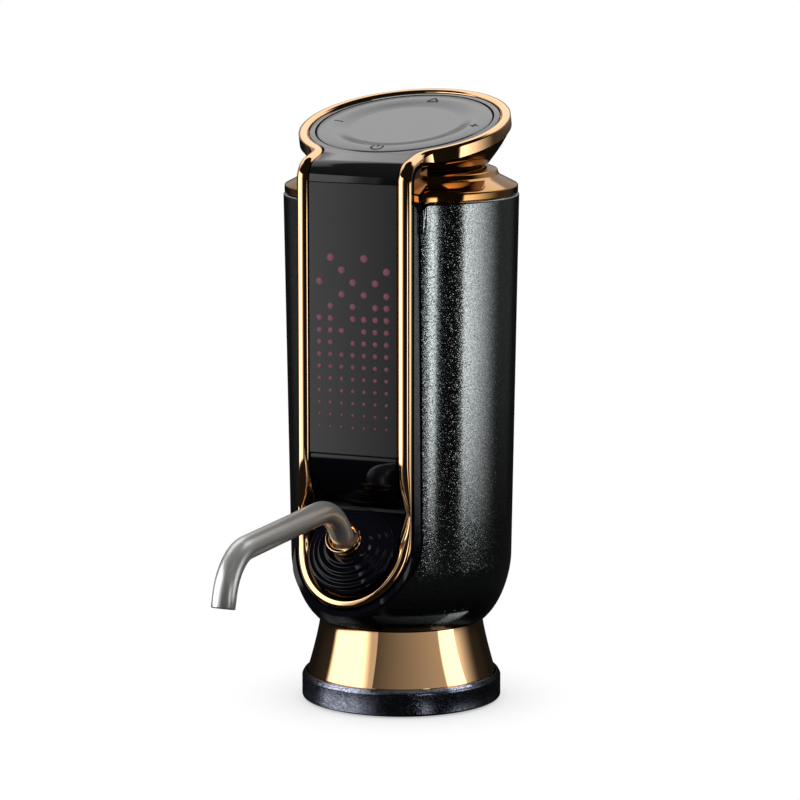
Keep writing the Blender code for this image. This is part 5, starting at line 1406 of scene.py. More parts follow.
@dataclass
class Front:
    """The gloss black housing, the smoked window and the lamps behind it."""

    face: FacePlan
    trim: TrimPlan
    housing_back: float = 20.5 * MM
    housing_front: float = 45 * MM
    housing_top_spare: float = 2 * MM
    lip_start: float = 27 * MM
    lip_end: float = 31 * MM
    wall: float = 1.8 * MM
    window_ledge: float = 1.2 * MM
    window_frame: float = 1.4 * MM
    window_bottom: float = 68.1 * MM
    window_top: float = 136.2 * MM
    lip_width: float = 1.5 * MM
    lip_drop: float = 0.4 * MM
    lip_side: float = 2.3
    seat_spare: float = 0.8 * MM
    hub_bore: float = 5.1 * MM
    face_cut_depth: float = 9 * MM
    head_cut_drop: float = 3.1 * MM
    beyond: float = 210 * MM
    lamp_pitch: float = 3.04 * MM
    lamp_bottom: float = 75.0 * MM
    lamp_small: float = 0.77 * MM
    lamp_large: float = 2.1 * MM
    lamp_rows: int = 15
    lamp_columns: int = 7
    lamp_sink: float = 0.002 * MM

    def side_outline(self) -> list[Vector]:
        """What is cut from the housing's front, seen from the side.

        Returns:
            The outline's points.
        """
        face = self.face
        spots = [(face.plate - face.depth + HAIR, self.window_bottom - HAIR)]
        for step in range(13):
            along = face.bend_start() + face.bend_length() * (1 - step / 12)
            spot = face.point(0, along, -face.plate - HAIR)
            spots.append((spot.y, spot.z))
        back = face.point(0, self.housing_back / 2, -face.plate - HAIR)
        spots += [(back.y, back.z), (back.y, self.beyond), (-FAR, self.beyond), (-FAR, 0)]
        low = face.rim_centre - face.half_width - 2 * MM
        spots.append((-face.hub_plane(low), low))
        for step in range(33):
            out, up = face.niche_point(1 - step / 32)
            spots.append((-out, up))
        spots.append((-face.depth, self.window_bottom - HAIR))
        return [Vector((-FAR, y, z)) for y, z in spots]

    def housing_body(self) -> bpy.types.Object:
        """The housing before it is carved: a slot-shaped block with a lip round its foot.

        Returns:
            The piece.
        """
        face, steps = self.face, 8
        top = face.head_height + self.housing_top_spare
        stations = [(self.housing_back, 0.0), (self.lip_start, 0.0)]
        for step in range(1, steps + 1):
            depth = blend(self.lip_start, self.lip_end, step / steps)
            stations.append((depth, self.lip_width * ease(step / steps)))
        rings = []
        for depth, lip in [*stations, (self.housing_front, self.lip_width)]:
            outline = face.slot(face.housing_half_width, top, lip, steps=95)
            rings.append([Vector((x, -depth, z)) for x, z in outline])
        return Bench.loft("front_housing_gloss", rings, looped=False)

    def cut_window(self, piece: bpy.types.Object) -> None:
        """Hollows the housing behind the window.

        Args:
            piece: the housing.
        """
        face = self.face
        half = face.housing_half_width - self.wall
        front = face.depth - face.plate - HAIR - self.window_ledge
        low = Vector((-half, -front, face.niche_top + self.wall))
        Bench.combine(piece, Bench.block("pocket_tool", low, Vector((half, 0, self.window_top + HAIR))))
        half = face.half_width - self.window_frame
        low = Vector((-half, -FAR, self.window_bottom + self.window_frame))
        high = Vector((half, -self.housing_back, self.window_top - self.window_frame))
        Bench.combine(piece, Bench.block("window_tool", low, high))

    def cut_hub_bore(self, piece: bpy.types.Object) -> None:
        """Bores the housing where the wine comes through to the hub.

        Args:
            piece: the housing.
        """
        bore = Bench.rod(self.hub_bore, FAR, 48)
        Bench.settle(bore, LIFT @ SPOUT @ Matrix.Translation((0, 0, 2 * MM - FAR / 2)))
        Bench.combine(piece, bore)

    def cut_trim_seat(self, piece: bpy.types.Object) -> None:
        """Cuts the seat that the trim lies in.

        Args:
            piece: the housing.
        """
        side, low = self.lip_side, -self.lip_drop
        profile: list[Rib] = [(-1, FAR, FAR), (-1, None, None), (1, None, None), (1, low, low)]
        profile += [(side, low, low), (side, FAR, FAR)]
        seat = Bench.loft("seat_tool", self.trim.rings(profile, 2 * HAIR, self.seat_spare), looped=True)
        Bench.combine(piece, seat)

    def cut_face(self, piece: bpy.types.Object) -> None:
        """Cuts the face, the bend and the scooped niche, and clears the head.

        Args:
            piece: the housing.
        """
        face = self.face
        top = face.head_height + self.housing_top_spare
        outline = face.slot(face.half_width + HAIR, top + 2 * MM)
        front = [Vector((x, -FAR - MM, z)) for x, z in outline]
        cutter = Bench.prism("face_tool", front, Vector((0, FAR - self.face_cut_depth, 0)))
        side = Bench.prism("side_tool", self.side_outline(), Vector((2 * FAR, 0, 0)))
        Bench.combine(cutter, side, "INTERSECT")
        Bench.combine(piece, cutter)
        low = Vector((-FAR, 2 * MM - face.bend_start(), -self.head_cut_drop))
        above = Bench.block("head_tool", low, Vector((FAR, FAR, FAR)))
        Bench.settle(above, LIFT @ HEAD)
        Bench.combine(piece, above)

    def make_housing(self) -> None:
        """Carves the housing and dresses it: gloss black, with plated sides above the shell."""
        piece = self.housing_body()
        self.cut_window(piece)
        self.cut_hub_bore(piece)
        self.cut_trim_seat(piece)
        self.cut_face(piece)
        self.plate_cheeks(piece)
        finishes = [Palette.BLACK, Palette.SHADED_GOLD]
        deliver(piece, DEVICE, Body.SHELL, finishes, "front_housing", smooth=30)

    def plate_cheeks(self, piece: bpy.types.Object) -> None:
        """Marks the housing's sides above the shell, which are plated like the collar.

        Args:
            piece: the housing.
        """
        line = self.face.shell_top + HAIR
        Bench.take(piece)
        bpy.ops.object.mode_set(mode="EDIT")
        bpy.ops.mesh.select_all(action="SELECT")
        bpy.ops.mesh.bisect(plane_co=(0, 0, line), plane_no=(0, 0, 1))
        Bench.clear()
        for finish in (Palette.BLACK, Palette.SHADED_GOLD):
            piece.data.materials.append(finish.material())
        for face in piece.data.polygons:
            side = abs(face.center.x) > self.face.housing_half_width - 0.1 * MM
            face.material_index = 1 if side and face.center.z > line else 0

    def make_window(self) -> None:
        """The smoked window, flush with the face, with a polished edge."""
        half = self.face.half_width
        low = Vector((-half, -self.face.depth, self.window_bottom))
        high = Vector((half, self.face.plate - self.face.depth, self.window_top - 0.05 * MM))
        piece = Bench.block("display_window_smoked", low, high)
        Bench.soften(piece, 0.12 * MM, 2, 60)
        deliver(piece, DEVICE, Body.SHELL, Palette.SMOKE, "display_window")

    def lamp_places(self) -> list[Corner]:
        """Places the lamps in a field that thins out upwards like rising bubbles.

        Returns:
            (across, height, radius) of each lamp.
        """
        sparse = ((2, 5), (3, 7), (1, 4, 6), (3, 5, 7), (2, 4, 6, 7), (1, 2, 4, 5, 6, 7), (1, 2, 3, 5, 6, 7))
        sparse += ((1, 2, 4, 5, 6, 7),)
        steps, middle = self.lamp_rows - 1, (self.lamp_columns + 1) // 2
        places = []
        for row in range(self.lamp_rows):
            columns = sparse[row] if row < len(sparse) else range(1, self.lamp_columns + 1)
            share = 1 - row / steps
            height = self.lamp_bottom + share * steps * self.lamp_pitch
            radius = blend(self.lamp_small, self.lamp_large, share) / 2
            places += [((column - middle) * self.lamp_pitch, height, radius) for column in columns]
        return places

    def make_lamps(self) -> None:
        """Models one lamp, a low dome in a darker rim that is painted shadow, and copies it over the field.
        """
        dome = [(0, 0), (1.0, 0.0), (1.0, 0.05), (0.8, 0.055), (0.78, 0.03), (0.5, 0.05), (0, 0.06)]
        master = Bench.turn("lamp_master", dome, 20, closed=False)
        master.data.materials.append(Palette.LAMP.material())
        master.data.materials.append(Palette.LAMP_SHADOW_RIM.material())
        # painted shadow: the outer ring of each lamp takes the darker rim finish
        for face in master.data.polygons:
            face.material_index = 1 if face.center.xy.length > 0.79 else 0
        Bench.shade(master, 40)
        copies = []
        for across, height, radius in self.lamp_places():
            lamp = master.copy()
            lamp.data = master.data.copy()
            bpy.context.scene.collection.objects.link(lamp)
            spot = Matrix.Translation((across, -self.face.depth - self.lamp_sink, height))
            scale = Matrix.Diagonal((radius, radius, MM, 1))
            lamp.matrix_world = spot @ Matrix.Rotation(math.pi / 2, 4, "X") @ scale
            copies.append(lamp)
        bpy.data.objects.remove(master)
        field = Bench.join("display_lamps", copies)
        Bench.freeze(field)
        deliver(field, DEVICE, Body.SHELL, [Palette.LAMP, Palette.LAMP_SHADOW_RIM])

    def make_trim(self) -> None:
        """The gold trim, half round in section, that frames the head and the front."""
        profile: list[Rib] = [(-1, None, None), *self.trim.crown(), (1, None, None)]
        piece = Bench.loft("trim_frame_plated", self.trim.rings(profile, 0, 0), looped=True)
        deliver(piece, DEVICE, Body.SHELL, Palette.GOLD, "trim_frame", smooth=50)

    def make(self) -> None:
        """Makes the whole front."""
        self.make_housing()
        self.make_window()
        self.make_lamps()
        self.make_trim()


@dataclass
class Head:
    """The collar, the neck, the gold bowl, the head plate and the control pad."""

    face: FacePlan
    trim: TrimPlan
    collar_base: float = 131.5 * MM
    collar_top: float = 138.2 * MM
    bowl_base: float = 138.8 * MM
    bore: float = 20.5 * MM
    neck_wall: float = 2.0 * MM
    bowl_low: float = 22.2 * MM
    bowl_bore: float = 20.6 * MM
    bowl_floor: float = 0.8 * MM
    bowl_belly: float = 0.35 * MM
    bowl_rim: float = 26.8 * MM
    bowl_rim_inner: float = 23.6 * MM
    bowl_rim_depth: float = 1.4 * MM
    bowl_edge: float = 0.25 * MM
    bowl_drop: float = 3.1 * MM
    front_half_width: float = 16.1 * MM
    front_depth: float = 20.2 * MM
    pad_radius: float = 22.5 * MM
    pad_gap: float = 0.4 * MM
    dish_radius: float = 13.6 * MM
    crest_radius: float = 19.0 * MM
    dish: float = 0.45 * MM
    crest: float = 0.32 * MM
    pad_thickness: float = 1.6 * MM
    icon_radius: float = 18.7 * MM
    icon_size: float = 1.5 * MM
    icon_shift: Point2 = (0.7 * MM, -0.8 * MM)
    stroke_half: float = 0.29 * MM
    stroke_skin: float = 0.02 * MM
    collar_steps: tuple[Corner, ...] = (
        (26.6, 0, 0),
        (26.6, -2.2, 0.2),
        (27.9, -2.2, 0.2),
        (27.9, 0, 0),
        (29.7, 0, 0.15),
        (29.7, 1.9, 0.6),
        (25.3, 4.15, 0.5),
        (24.8, 4.6, 0.3),
        (24.4, 5.8, 0.6),
    )

    def front_tool(self, low: float, high: float) -> bpy.types.Object:
        """The space that the front housing passes through, between two heights."""
        half = self.front_half_width
        return Bench.block("front_tool", Vector((-half, -FAR, low)), Vector((half, -self.front_depth, high)))

    def make_collar(self) -> None:
        """The stepped gold collar on the shell's top edge; its steps are in millimetres above its base."""
        base, top = self.collar_base, self.collar_top
        steps = [(radius * MM, base + rise * MM, fillet * MM) for radius, rise, fillet in self.collar_steps]
        corners = [(self.bore, base, 0), *steps, (22.4 * MM, top - 0.1 * MM, 0.3 * MM)]
        corners += [(22.2 * MM, top, 0.05 * MM), (self.bore, top, 0.2 * MM)]
        piece = Bench.turn("top_collar_plated", rounded(corners, 6), 192)
        Bench.combine(piece, self.front_tool(base - 4 * MM, top + 2 * MM))
        deliver(piece, DEVICE, Body.SHELL, Palette.SHADED_GOLD, "top_collar", smooth=40)

    def make_neck(self) -> None:
        """The dark ring in the gap between collar and bowl."""
        outer, inner = self.bore - HAIR, self.bore - self.neck_wall
        low, top = self.collar_base, self.bowl_base - HAIR
        corners = [(inner, low, 0.2 * MM), (outer, low, 0.2 * MM)]
        corners += [(outer, top, 0.2 * MM), (inner, top, 0.2 * MM)]
        piece = Bench.turn("neck_ring_moulded", rounded(corners, 3), 128)
        deliver(piece, DEVICE, Body.SHELL, Palette.MATT, "neck_ring", smooth=35)

    def circle(self, radius: float, height: float, place: Matrix | None = None) -> list[Vector]:
        """A circle round the upright axis, or round the axis of another frame.

        Args:
            radius: its radius.
            height: its height in that frame.
            place: the frame, if it isn't the device's own.

        Returns:
            Its points.
        """
        turns = [math.tau * step / 192 for step in range(192)]
        ring = [Vector((radius * math.cos(turn), radius * math.sin(turn), height)) for turn in turns]
        return ring if place is None else [place @ spot for spot in ring]

    def make_bowl(self) -> None:
        """The gold bowl, level below and tilted above, that carries the head plate."""
        head, steps = LIFT @ HEAD, 12
        low = self.circle(self.bowl_low, self.bowl_base)
        high = self.circle(self.bowl_rim, -self.bowl_drop, head)
        bore, edge = self.bowl_bore, self.bowl_low - self.bowl_edge
        rings = [self.circle(radius, self.bowl_base) for radius in (bore, edge)]
        for step in range(steps + 1):
            share = step / steps
            belly = self.bowl_belly * math.sin(math.pi * share)
            ring = [a.lerp(b, 0.015 + 0.97 * share) for a, b in zip(low, high)]
            rings.append([spot + Vector((spot.x, spot.y, 0)).normalized() * belly for spot in ring])
        rings.append(self.circle(self.bowl_rim - self.bowl_edge, -self.bowl_drop, head))
        rings.append(self.circle(self.bowl_rim_inner, -self.bowl_drop, head))
        rings.append(self.circle(self.bowl_rim_inner, -self.bowl_drop - self.bowl_rim_depth, head))
        rings.append(self.circle(self.bowl_bore, self.bowl_base + self.bowl_floor))
        piece = Bench.loft("head_bowl_plated", rings, looped=True)
        Bench.combine(piece, self.front_tool(self.bowl_base - 2 * MM, self.face.head_height + 2 * MM))
        deliver(piece, DEVICE, Body.SHELL, Palette.SHADED_GOLD, "head_bowl", smooth=40)

    def half_width(self, along: float) -> float:
        """Half the head plate's width.

        Args:
            along: a distance along the face from the pad's centre.

        Returns:
            Half the width there.
        """
        radius, fillet = self.trim.head_radius, self.trim.fillet
        reach = radius + fillet
        across = self.face.half_width + fillet
        fillet_along = math.sqrt(reach**2 - across**2)
        touch = fillet_along * radius / reach
        if along < touch:
            return math.sqrt(max(radius**2 - along**2, 0))
        if along < fillet_along:
            return across - math.sqrt(fillet**2 - (fillet_along - along) ** 2)
        return self.face.half_width

    def make_plate(self) -> None:
        """The gloss head plate, which narrows and bends down into the face, with the pad's well cut out."""
        face, radius, steps = self.face, self.trim.head_radius, 120
        start, end = face.bend_start(), face.bend_start() + face.bend_length()
        stations = [-radius * math.cos(math.pi * (step + 0.5) / steps) for step in range(steps)]
        stations = [along for along in stations if along < start - 0.6 * MM]
        stations += [start + face.bend_length() * step / 16 for step in range(17)] + [end + 0.25 * MM]
        rings = []
        for along in stations:
            half = self.half_width(along)
            edge = min(0.15 * MM, half / 3)
            nick = edge * 0.3
            section = [(-half, -face.plate), (half, -face.plate), (half, -edge), (half - nick, -nick)]
            section += [(half - edge, 0), (edge - half, 0), (nick - half, -nick), (-half, -edge)]
            rings.append([face.point(across, along, proud) for across, proud in section])
        piece = Bench.loft("top_plate_gloss", rings, looped=False)
        well = Bench.rod(self.pad_radius + self.pad_gap, 8 * MM, 192)
        Bench.settle(well, LIFT @ HEAD)
        Bench.combine(piece, well)
        # painted shade: the faces past the start of the bend take the darker smoked finish, the flat top the
        # lit plate finish
        for finish in (Palette.PLATE, Palette.SMOKE):
            piece.data.materials.append(finish.material())
        for side in piece.data.polygons:
            side.material_index = 1 if side.center.y < face.point(0, start, 0).y else 0
        deliver(piece, DEVICE, Body.SHELL, [Palette.PLATE, Palette.SMOKE], "top_plate", smooth=30)

    def pad_height(self, radius: float) -> float:
        """The height of the pad's top.

        Args:
            radius: a distance from the pad's centre.

        Returns:
            The height there.
        """
        if radius <= self.dish_radius:
            return -self.dish
        if radius <= self.crest_radius:
            share = (radius - self.dish_radius) / (self.crest_radius - self.dish_radius)
            return blend(-self.dish, self.crest, ease(share))
        share = (radius - self.crest_radius) / (self.pad_radius - self.crest_radius)
        return self.crest * (1 - share**2)

    def make_pad(self) -> None:
        """The round control pad: a flat dish inside a soft raised ring, with its icons."""
        under = -self.dish - self.pad_thickness
        top = [(0, -self.dish)]
        for step in range(41):
            radius = blend(self.dish_radius - 0.6 * MM, self.pad_radius - 0.4 * MM, step / 40)
            top.append((radius, self.pad_height(radius)))
        rim = self.pad_radius
        corners = [(rim - 0.5 * MM, top[-1][1], 0), (rim, -0.1 * MM, 0.3 * MM)]
        corners.append((rim, under + 0.4 * MM, 0.1 * MM))
        corners += [(rim - 0.4 * MM, under, 0.1 * MM), (0, under, 0)]
        edge = rounded(corners, 5, closed=False)
        piece = Bench.turn("control_pad_gloss", top + edge[1:], 160, closed=False)
        deliver(piece, HEAD, Body.PAD, Palette.PAD, "control_pad", smooth=40)

    def strokes(self) -> list[list[Point2]]:
        """The strokes of the four icons on the pad: power, minus, plus and a triangle.

        Returns:
            The points of each stroke.
        """
        place = self.icon_radius
        arc = [math.radians(135 + 270 * step / 24) for step in range(25)]
        size = self.icon_size
        power = [(size * math.cos(turn), size * math.sin(turn) - place) for turn in arc]
        strokes = [power, [(0, size * 1.2 - place), (0, size * 0.1 - place)]]
        arm = size * 0.8
        strokes.append([(-place - arm, 0), (arm - place, 0)])
        strokes += [[(place - arm, 0), (place + arm, 0)], [(place, -arm), (place, arm)]]
        peak = [(-size, place - size * 0.6), (0, place + size * 0.8), (size, place - size * 0.6)]
        strokes += [peak[0:2], peak[1:3], [peak[2], peak[0]]]
        return strokes

    def make_icons(self) -> None:
        """Lays each stroke on the pad as a thin printed ribbon."""
        parts = []
        half, skin = self.stroke_half, self.stroke_skin
        for index, stroke in enumerate(self.strokes()):
            path = [Vector(spot) for spot in stroke]
            if len(path) == 2:
                path = [path[0].lerp(path[1], step / 4) for step in range(5)]
            rings = []
            for place, spot in enumerate(path):
                before, after = path[max(place - 1, 0)], path[min(place + 1, len(path) - 1)]
                ahead = (after - before).normalized()
                side = Vector((-ahead.y, ahead.x)) * half
                ring = []
                for share, lift in ((-1, -skin), (1, -skin), (1, skin), (-1, skin)):
                    point = spot + side * share + Vector(self.icon_shift)
                    ring.append(Vector((point.x, point.y, self.pad_height(point.length) + lift)))
                rings.append(ring)
            parts.append(Bench.loft(f"icon_{index}", rings, looped=False))
        piece = Bench.join("control_icons", parts)
        deliver(piece, HEAD, Body.PAD, Palette.MARK)

    def make(self) -> None:
        """Makes the whole head."""
        self.make_collar()
        self.make_neck()
        self.make_bowl()
        self.make_plate()
        self.make_pad()
        self.make_icons()


@dataclass
class Spout:
    """The stepped hub, its gold rings and the bent steel tube.

    Each of the tube's corners is a depth in front of the axis and a height above the foot, and is
    rounded by its own bend.
    """

    radius: float = 2.9 * MM
    bore: float = 2.1 * MM
    hub_radii: tuple[float, ...] = (11.4 * MM, 9.85 * MM, 8.25 * MM, 6.4 * MM)
    hub_bore: float = 5.2 * MM
    hub_step: float = 0.9 * MM
    hub_slope: float = 0.2 * MM
    hub_nose: float = 3.6 * MM
    hub_nose_slope: float = 0.5 * MM
    ring_radius: float = 4.0 * MM
    ring_height: float = 1.0 * MM
    lip_radius: float = 4.55 * MM
    collar_height: float = 2.1 * MM
    straight: float = 7.3 * MM
    corners: tuple[Point2, ...] = ((43.3 * MM, 57.0 * MM), (101.2 * MM, 55.5 * MM), (104.5 * MM, 43.5 * MM))
    bends: tuple[float, ...] = (10.0 * MM, 16.0 * MM, 13.0 * MM)
    bend_steps: int = 16

    def make_hub(self) -> None:
        """The black hub, whose steps are softly rounded."""
        inner, neck = self.hub_bore, self.radius + HAIR
        floor, level = self.hub_nose - MM, 0.0
        corners = [(inner, 0, 0)]
        for radius in self.hub_radii:
            last = radius == self.hub_radii[-1]
            corners.append((radius, level, 0.25 * MM if level else 0))
            level = self.hub_nose if last else level + self.hub_step
            corners.append((radius - (self.hub_nose_slope if last else self.hub_slope), level, 0.3 * MM))
        corners += [(neck, self.hub_nose, 0.1 * MM), (neck, floor, 0), (inner, floor, 0)]
        piece = Bench.turn("spout_hub_gloss", rounded(corners, 5), 128)
        deliver(piece, SPOUT, Body.SHELL, Palette.BLACK, "spout_hub", smooth=40)

    def make_rings(self) -> None:
        """The gold seat ring, which stays, and the flared collar, which swivels with the tube."""
        neck, outer, lip = self.radius + HAIR, self.ring_radius, self.lip_radius
        low = self.hub_nose + HAIR
        high = low + self.ring_height
        corners = [(neck, low, 0), (outer, low, 0.3 * MM), (outer, high, 0.3 * MM), (neck, high, 0)]
        piece = Bench.turn("spout_seat_ring_plated", rounded(corners, 5), 96)
        deliver(piece, SPOUT, Body.SHELL, Palette.GOLD, "spout_seat_ring", smooth=40)
        low, neck = high + HAIR, self.radius + 2 * HAIR
        high = low + self.collar_height
        corners = [(neck, low, 0), (outer, low, 0.15 * MM), (lip, high - 0.5 * MM, 0.4 * MM)]
        corners += [(lip, high, 0.2 * MM), (neck, high, 0.2 * MM)]
        piece = Bench.turn("spout_collar_plated", rounded(corners, 5), 96)
        deliver(piece, SPOUT, Body.SPOUT, Palette.GOLD, "spout_collar", smooth=40)

    def route(self) -> list[Vector]:
        """The tube's centre line: straight runs joined by round bends.

        Returns:
            Its points, in the hub's frame.
        """
        spots = [Vector((0, 0, HAIR)), Vector((0, 0, self.straight))]
        for depth, height in self.corners:
            forward, up = depth - HUB_DEPTH, height - HUB_HEIGHT
            along = forward * math.cos(SPOUT_ANGLE) + up * math.sin(SPOUT_ANGLE)
            beside = forward * math.sin(SPOUT_ANGLE) - up * math.cos(SPOUT_ANGLE)
            spots.append(Vector((0, -beside, along)))
        line = [spots[0]]
        for before, corner, after, bend in zip(spots, spots[1:], spots[2:], self.bends):
            arriving, leaving = (corner - before).normalized(), (after - corner).normalized()
            turn = arriving.angle(leaving)
            inward = (leaving - arriving).normalized()
            ahead = (arriving + leaving).normalized()
            centre = corner + inward * (bend / math.cos(turn / 2))
            for step in range(self.bend_steps + 1):
                swing = turn * (step / self.bend_steps - 0.5)
                line.append(centre - inward * (bend * math.cos(swing)) + ahead * (bend * math.sin(swing)))
        return line + [spots[-1]]

    def make_tube(self) -> None:
        """Sweeps the tube along its line, gives it a wall and eases its cut ends."""
        curve = bpy.data.curves.new("spout_line", "CURVE")
        curve.dimensions = "3D"
        curve.bevel_depth = self.radius
        curve.bevel_resolution = 14
        line = self.route()
        spline = curve.splines.new("POLY")
        spline.points.add(len(line) - 1)
        for point, spot in zip(spline.points, line):
            point.co = (*spot, 1)
        piece = bpy.data.objects.new("spout_tube_satin", curve)
        bpy.context.scene.collection.objects.link(piece)
        Bench.take(piece)
        bpy.ops.object.convert(target="MESH")
        piece = bpy.context.object
        bpy.ops.object.mode_set(mode="EDIT")
        bpy.ops.mesh.select_all(action="SELECT")
        bpy.ops.mesh.normals_make_consistent(inside=False)
        Bench.clear()
        Bench.apply(piece, "SOLIDIFY", {"thickness": self.radius - self.bore, "offset": -1.0})
        edges = {"width": 0.15 * MM, "segments": 2, "limit_method": "ANGLE", "angle_limit": 1.0}
        Bench.apply(piece, "BEVEL", edges)
        deliver(piece, SPOUT, Body.SPOUT, Palette.STEEL, "spout_tube", smooth=50)

    def make(self) -> None:
        """Makes the whole spout."""
        self.make_hub()
        self.make_rings()
        self.make_tube()


# Inside


def dress_inside() -> None:
    """Gives each CAD node that still shows the finish of its slot in the record."""
    slots = {entry["node"]: entry["material_slot"] for entry in frame["record"]["subparts"]}
    for name, node in frame["nodes"].items():
        if node.hide_render:
            continue
        finish = Palette.INSIDE[slots[name]]
        for holder in node.material_slots:
            holder.material = finish.material()
        log.info("%s: CAD node in %s", name, finish.label)


# Studio


@dataclass
class Studio:
    """A white floor, soft boxes in a dark room that only reflections see, and the camera.

    The floor's gloss ends gloss_radius millimetres out, over a soft edge; gloss_cut is a bearing, the
    softness there and how much nearer it ends past it. box_light says what a box's numbers mean.
    """

    floor_radius: float = 0.34
    gloss_radius: float = 44
    gloss_edge: float = 12
    gloss_cut: tuple[float, float, float] = (20, 30, 14)
    lens: float = 171.25
    camera_place: tuple[float, float, float] = (0.38323, -0.88487, 0.20792)
    camera_aim: tuple[float, float, float] = (-0.3929, 0.9063, -0.1560)
    room_radius: float = 0.25
    room_height: float = 0.6
    room_sink: float = 8 * MM
    room_glow: float = 0.008
    camera_bearing: float = -66.6
    left_box: tuple[float, ...] = (-97, 10, -30, 5, -8, 12, 212, 14, 1.3)
    right_box: tuple[float, ...] = (60.5, 3, 78, 60, -8, 90, 105, 20, 2.35)
    strip_box: tuple[float, ...] = (25.5, 6, 33, 1.5, -8, 90, 92, 20, 2.5)
    side_wall: tuple[float, ...] = (92, 16, 135, 20, 8, 100, 105, 20, 0.045)
    flag_radius: float = 26.5 * MM
    flag_low: float = -14.5 * MM
    flag_height: float = 16.1 * MM
    flag_first: float = -19.5
    flag_last: float = 48

    def make_camera(self) -> None:
        """Adds the camera at the photograph's angle and makes it the scene's."""
        data = bpy.data.cameras.new("camera")
        data.lens = self.lens
        data.sensor_width = 36
        data.clip_start = 0.01
        camera = bpy.data.objects.new("camera", data)
        camera.location = self.camera_place
        camera.rotation_euler = Vector(self.camera_aim).to_track_quat("-Z", "Y").to_euler()
        bpy.context.scene.collection.objects.link(camera)
        bpy.context.scene.camera = camera

    def make_floor(self) -> None:
        """Adds the floor: white to the camera, under a faint shadow, and dark to what mirrors it."""
        Bench.clear()
        level = -SEAT_HEIGHT - 0.02 * MM
        bpy.ops.mesh.primitive_circle_add(
            vertices=128, radius=self.floor_radius, fill_type="NGON", location=(0, 0, level)
        )
        floor = bpy.context.object
        floor.name = "floor"
        material = bpy.data.materials.new("white floor")
        material.use_nodes = True
        graph = Graph(material.node_tree)
        polished = graph.add("ShaderNodeBsdfAnisotropic", {}, {"Color": (0.5, 0.5, 0.5), "Roughness": 0.12})
        dull = graph.add("ShaderNodeBsdfDiffuse", {}, {"Color": (0.008, 0.008, 0.008)})
        glow = graph.add("ShaderNodeEmission", {}, {"Color": (1, 1, 1), "Strength": 1.0})
        open_sky = graph.add("ShaderNodeAmbientOcclusion", {"samples": 16}, {"Distance": 20 * MM})
        seen = graph.wire(graph.add("ShaderNodeLightPath").outputs["Is Camera Ray"])
        share = seen * (graph.wire(open_sky.outputs["AO"]) * 0.5 + 0.5)
        x, y, _ = graph.axes()
        bearing, softness, cut = self.gloss_cut
        reach = (x * x + y * y).root() * PER_MM + self.bearing_of(graph).above(bearing, softness) * cut
        far = reach.above(self.gloss_radius, self.gloss_edge)
        plain = graph.add("ShaderNodeMixShader", {}, {0: far, 1: polished.outputs[0], 2: dull.outputs[0]})
        both = graph.add("ShaderNodeMixShader", {}, {0: share, 1: plain.outputs[0], 2: glow.outputs[0]})
        graph.add("ShaderNodeOutputMaterial", {}, {"Surface": both.outputs[0]})
        floor.data.materials.append(material)

    def box_light(self, turn: Wire, height: Wire, limits: Sequence[float]) -> Wire:
        """A soft box on the room's wall.

        Args:
            turn: the bearing round the wall from the camera, in degrees.
            height: the height on the wall, in millimetres.
            limits: its first bearing and the softness there, its last bearing and the softness there,
                its foot, its top and the softness of each, and its brightness.

        Returns:
            Its glow on the wall.
        """
        first, first_soft, last, last_soft, foot, foot_soft, top, top_soft, level = limits
        across = turn.above(first, first_soft) * (1 - turn.above(last, last_soft))
        return across * height.above(foot, foot_soft) * (1 - height.above(top, top_soft)) * level

    def bearing_of(self, graph: Graph) -> Wire:
        """The bearing round the upright axis, from the camera's side.

        Args:
            graph: the graph that needs it.

        Returns:
            The bearing, in degrees.
        """
        x, y, _ = graph.axes()
        facing = math.radians(self.camera_bearing)
        ahead = x * math.cos(facing) + y * math.sin(facing)
        right = y * math.cos(facing) - x * math.sin(facing)
        return right.bearing(ahead)

    def glow_on(self, piece: bpy.types.Object, name: str, lit: Callable[[Wire, Wire], Wire]) -> None:
        """Makes a piece of the room glow, and stages it where reflections alone see it.

        Args:
            piece: the piece.
            name: the name of its material.
            lit: what works out its glow from the bearing, in degrees, and the height, in millimetres.
        """
        material = bpy.data.materials.new(name)
        material.use_nodes = True
        graph = Graph(material.node_tree)
        glow = lit(self.bearing_of(graph), graph.axes()[2] * PER_MM)
        shader = graph.add("ShaderNodeEmission", {}, {"Color": glow, "Strength": 1.0})
        graph.add("ShaderNodeOutputMaterial", {}, {"Surface": shader.outputs[0]})
        piece.data.materials.append(material)
        piece.visible_camera = False
        piece.visible_diffuse = False
        piece.visible_shadow = False
        piece.visible_transmission = False
        piece.visible_volume_scatter = False

    def make_room(self) -> None:
        """Adds the dark room and its soft boxes, seen by reflections alone."""
        Bench.clear()
        low, high = -SEAT_HEIGHT - self.room_sink, self.room_height
        bpy.ops.mesh.primitive_cylinder_add(
            vertices=128, radius=self.room_radius, depth=high - low, location=(0, 0, (low + high) / 2)
        )
        room = bpy.context.object
        room.name = "dark_room"
        Bench.freeze(room)
        Bench.shade(room, 60)
        self.glow_on(room, "room wall", self.room_light)

    def room_light(self, turn: Wire, height: Wire) -> Wire:
        """The light of the room's wall: its soft boxes, a pale back wall and a faint glow all over.

        Args:
            turn: the bearing, in degrees.
            height: the height, in millimetres.

        Returns:
            The wall's glow.
        """
        glow = self.box_light(turn, height, self.left_box) * (1.9 - turn.above(-45, 14) * 1.45)
        glow = glow + self.box_light(turn, height, self.right_box)
        glow = glow + self.box_light(turn, height, self.strip_box)
        back = height.above(125, 60) * 0.36 + height.above(235, 30) * 0.82
        back = back * (1 - height.above(480, 60)) * abs(turn).above(104, 24)
        return glow + back + self.box_light(abs(turn), height, self.side_wall) + self.room_glow

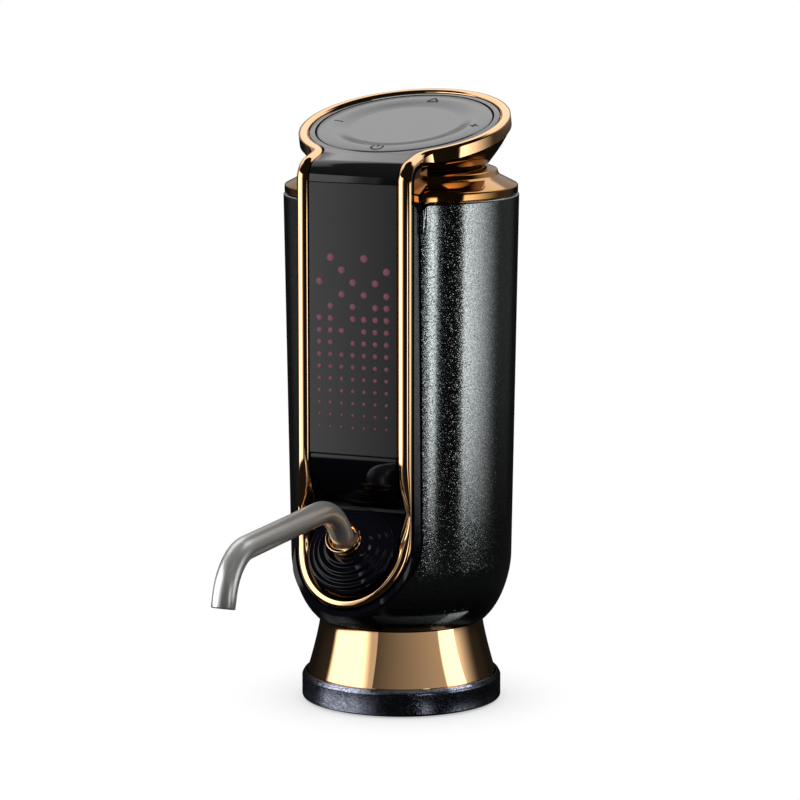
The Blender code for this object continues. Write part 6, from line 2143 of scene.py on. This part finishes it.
    def make_flag(self) -> None:
        """Adds the low dim card in front of the flare, which keeps the strip light off it."""
        arc, steps = [], 24
        for step in range(steps + 1):
            turn = math.radians(self.camera_bearing + blend(self.flag_first, self.flag_last, step / steps))
            spot = Vector((math.cos(turn), math.sin(turn), 0)) * self.flag_radius
            arc.append(spot + Vector((0, 0, self.flag_low)))
        flag = Bench.draw("flag", arc, closed=False)
        bpy.ops.mesh.extrude_region_move(TRANSFORM_OT_translate={"value": (0, 0, self.flag_height)})
        Bench.clear()
        self.glow_on(flag, "flag card", lambda turn, height: (turn + 32) * 0.0068 + turn.above(32, 2) * 2.0)

    def make_lamps(self) -> None:
        """Adds the lamps, which light what isn't a mirror."""
        places = {
            "key": ((0.45, -0.30, 0.55), 0.4, 4.5),
            "fill": ((-0.6, -0.35, 0.35), 0.5, 2.0),
            "top": ((-0.1, 0.1, 0.7), 0.5, 5.0),
        }
        for name, (place, size, power) in places.items():
            data = bpy.data.lights.new(f"{name}_lamp", "AREA")
            data.shape = "SQUARE"
            data.size = size
            data.energy = power
            lamp = bpy.data.objects.new(f"{name}_lamp", data)
            lamp.location = place
            lamp.rotation_euler = (Vector((0, 0, 0.05)) - Vector(place)).to_track_quat("-Z", "Y").to_euler()
            lamp.visible_camera = False
            lamp.visible_glossy = False
            bpy.context.scene.collection.objects.link(lamp)

    def make_world(self) -> None:
        """Sets the world: white where it is seen, dim where it lights."""
        world = bpy.data.worlds.new("studio")
        world.use_nodes = True
        bpy.context.scene.world = world
        graph = Graph(world.node_tree)
        path = graph.add("ShaderNodeLightPath")
        seen = graph.wire(path.outputs["Is Camera Ray"]) + graph.wire(path.outputs["Is Glossy Ray"])
        seen = seen + graph.wire(path.outputs["Is Transmission Ray"])
        level = seen.above(0.5, 0.2) * 0.88 + 0.12
        ground = graph.add("ShaderNodeBackground", {}, {"Color": level, "Strength": 1.0})
        graph.add("ShaderNodeOutputWorld", {}, {"Surface": ground.outputs[0]})
        bpy.context.scene.view_settings.view_transform = "Standard"

    def make(self) -> None:
        """Makes the whole studio."""
        self.make_world()
        self.make_camera()
        self.make_floor()
        self.make_room()
        self.make_flag()
        self.make_lamps()


def main() -> None:
    """Builds each sub-assembly over the CAD frame, and then the studio."""
    logging.basicConfig(level=logging.INFO, format="%(message)s")
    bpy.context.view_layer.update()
    face = FacePlan()
    trim = TrimPlan(face)
    for part in (Base(), Shell(face), Front(face, trim), Head(face, trim), Spout()):
        part.make()
        log.info("%s is done", type(part).__name__)
    dress_inside()
    Studio().make()
    Bench.clear()


if __name__ == "__main__":
    main()
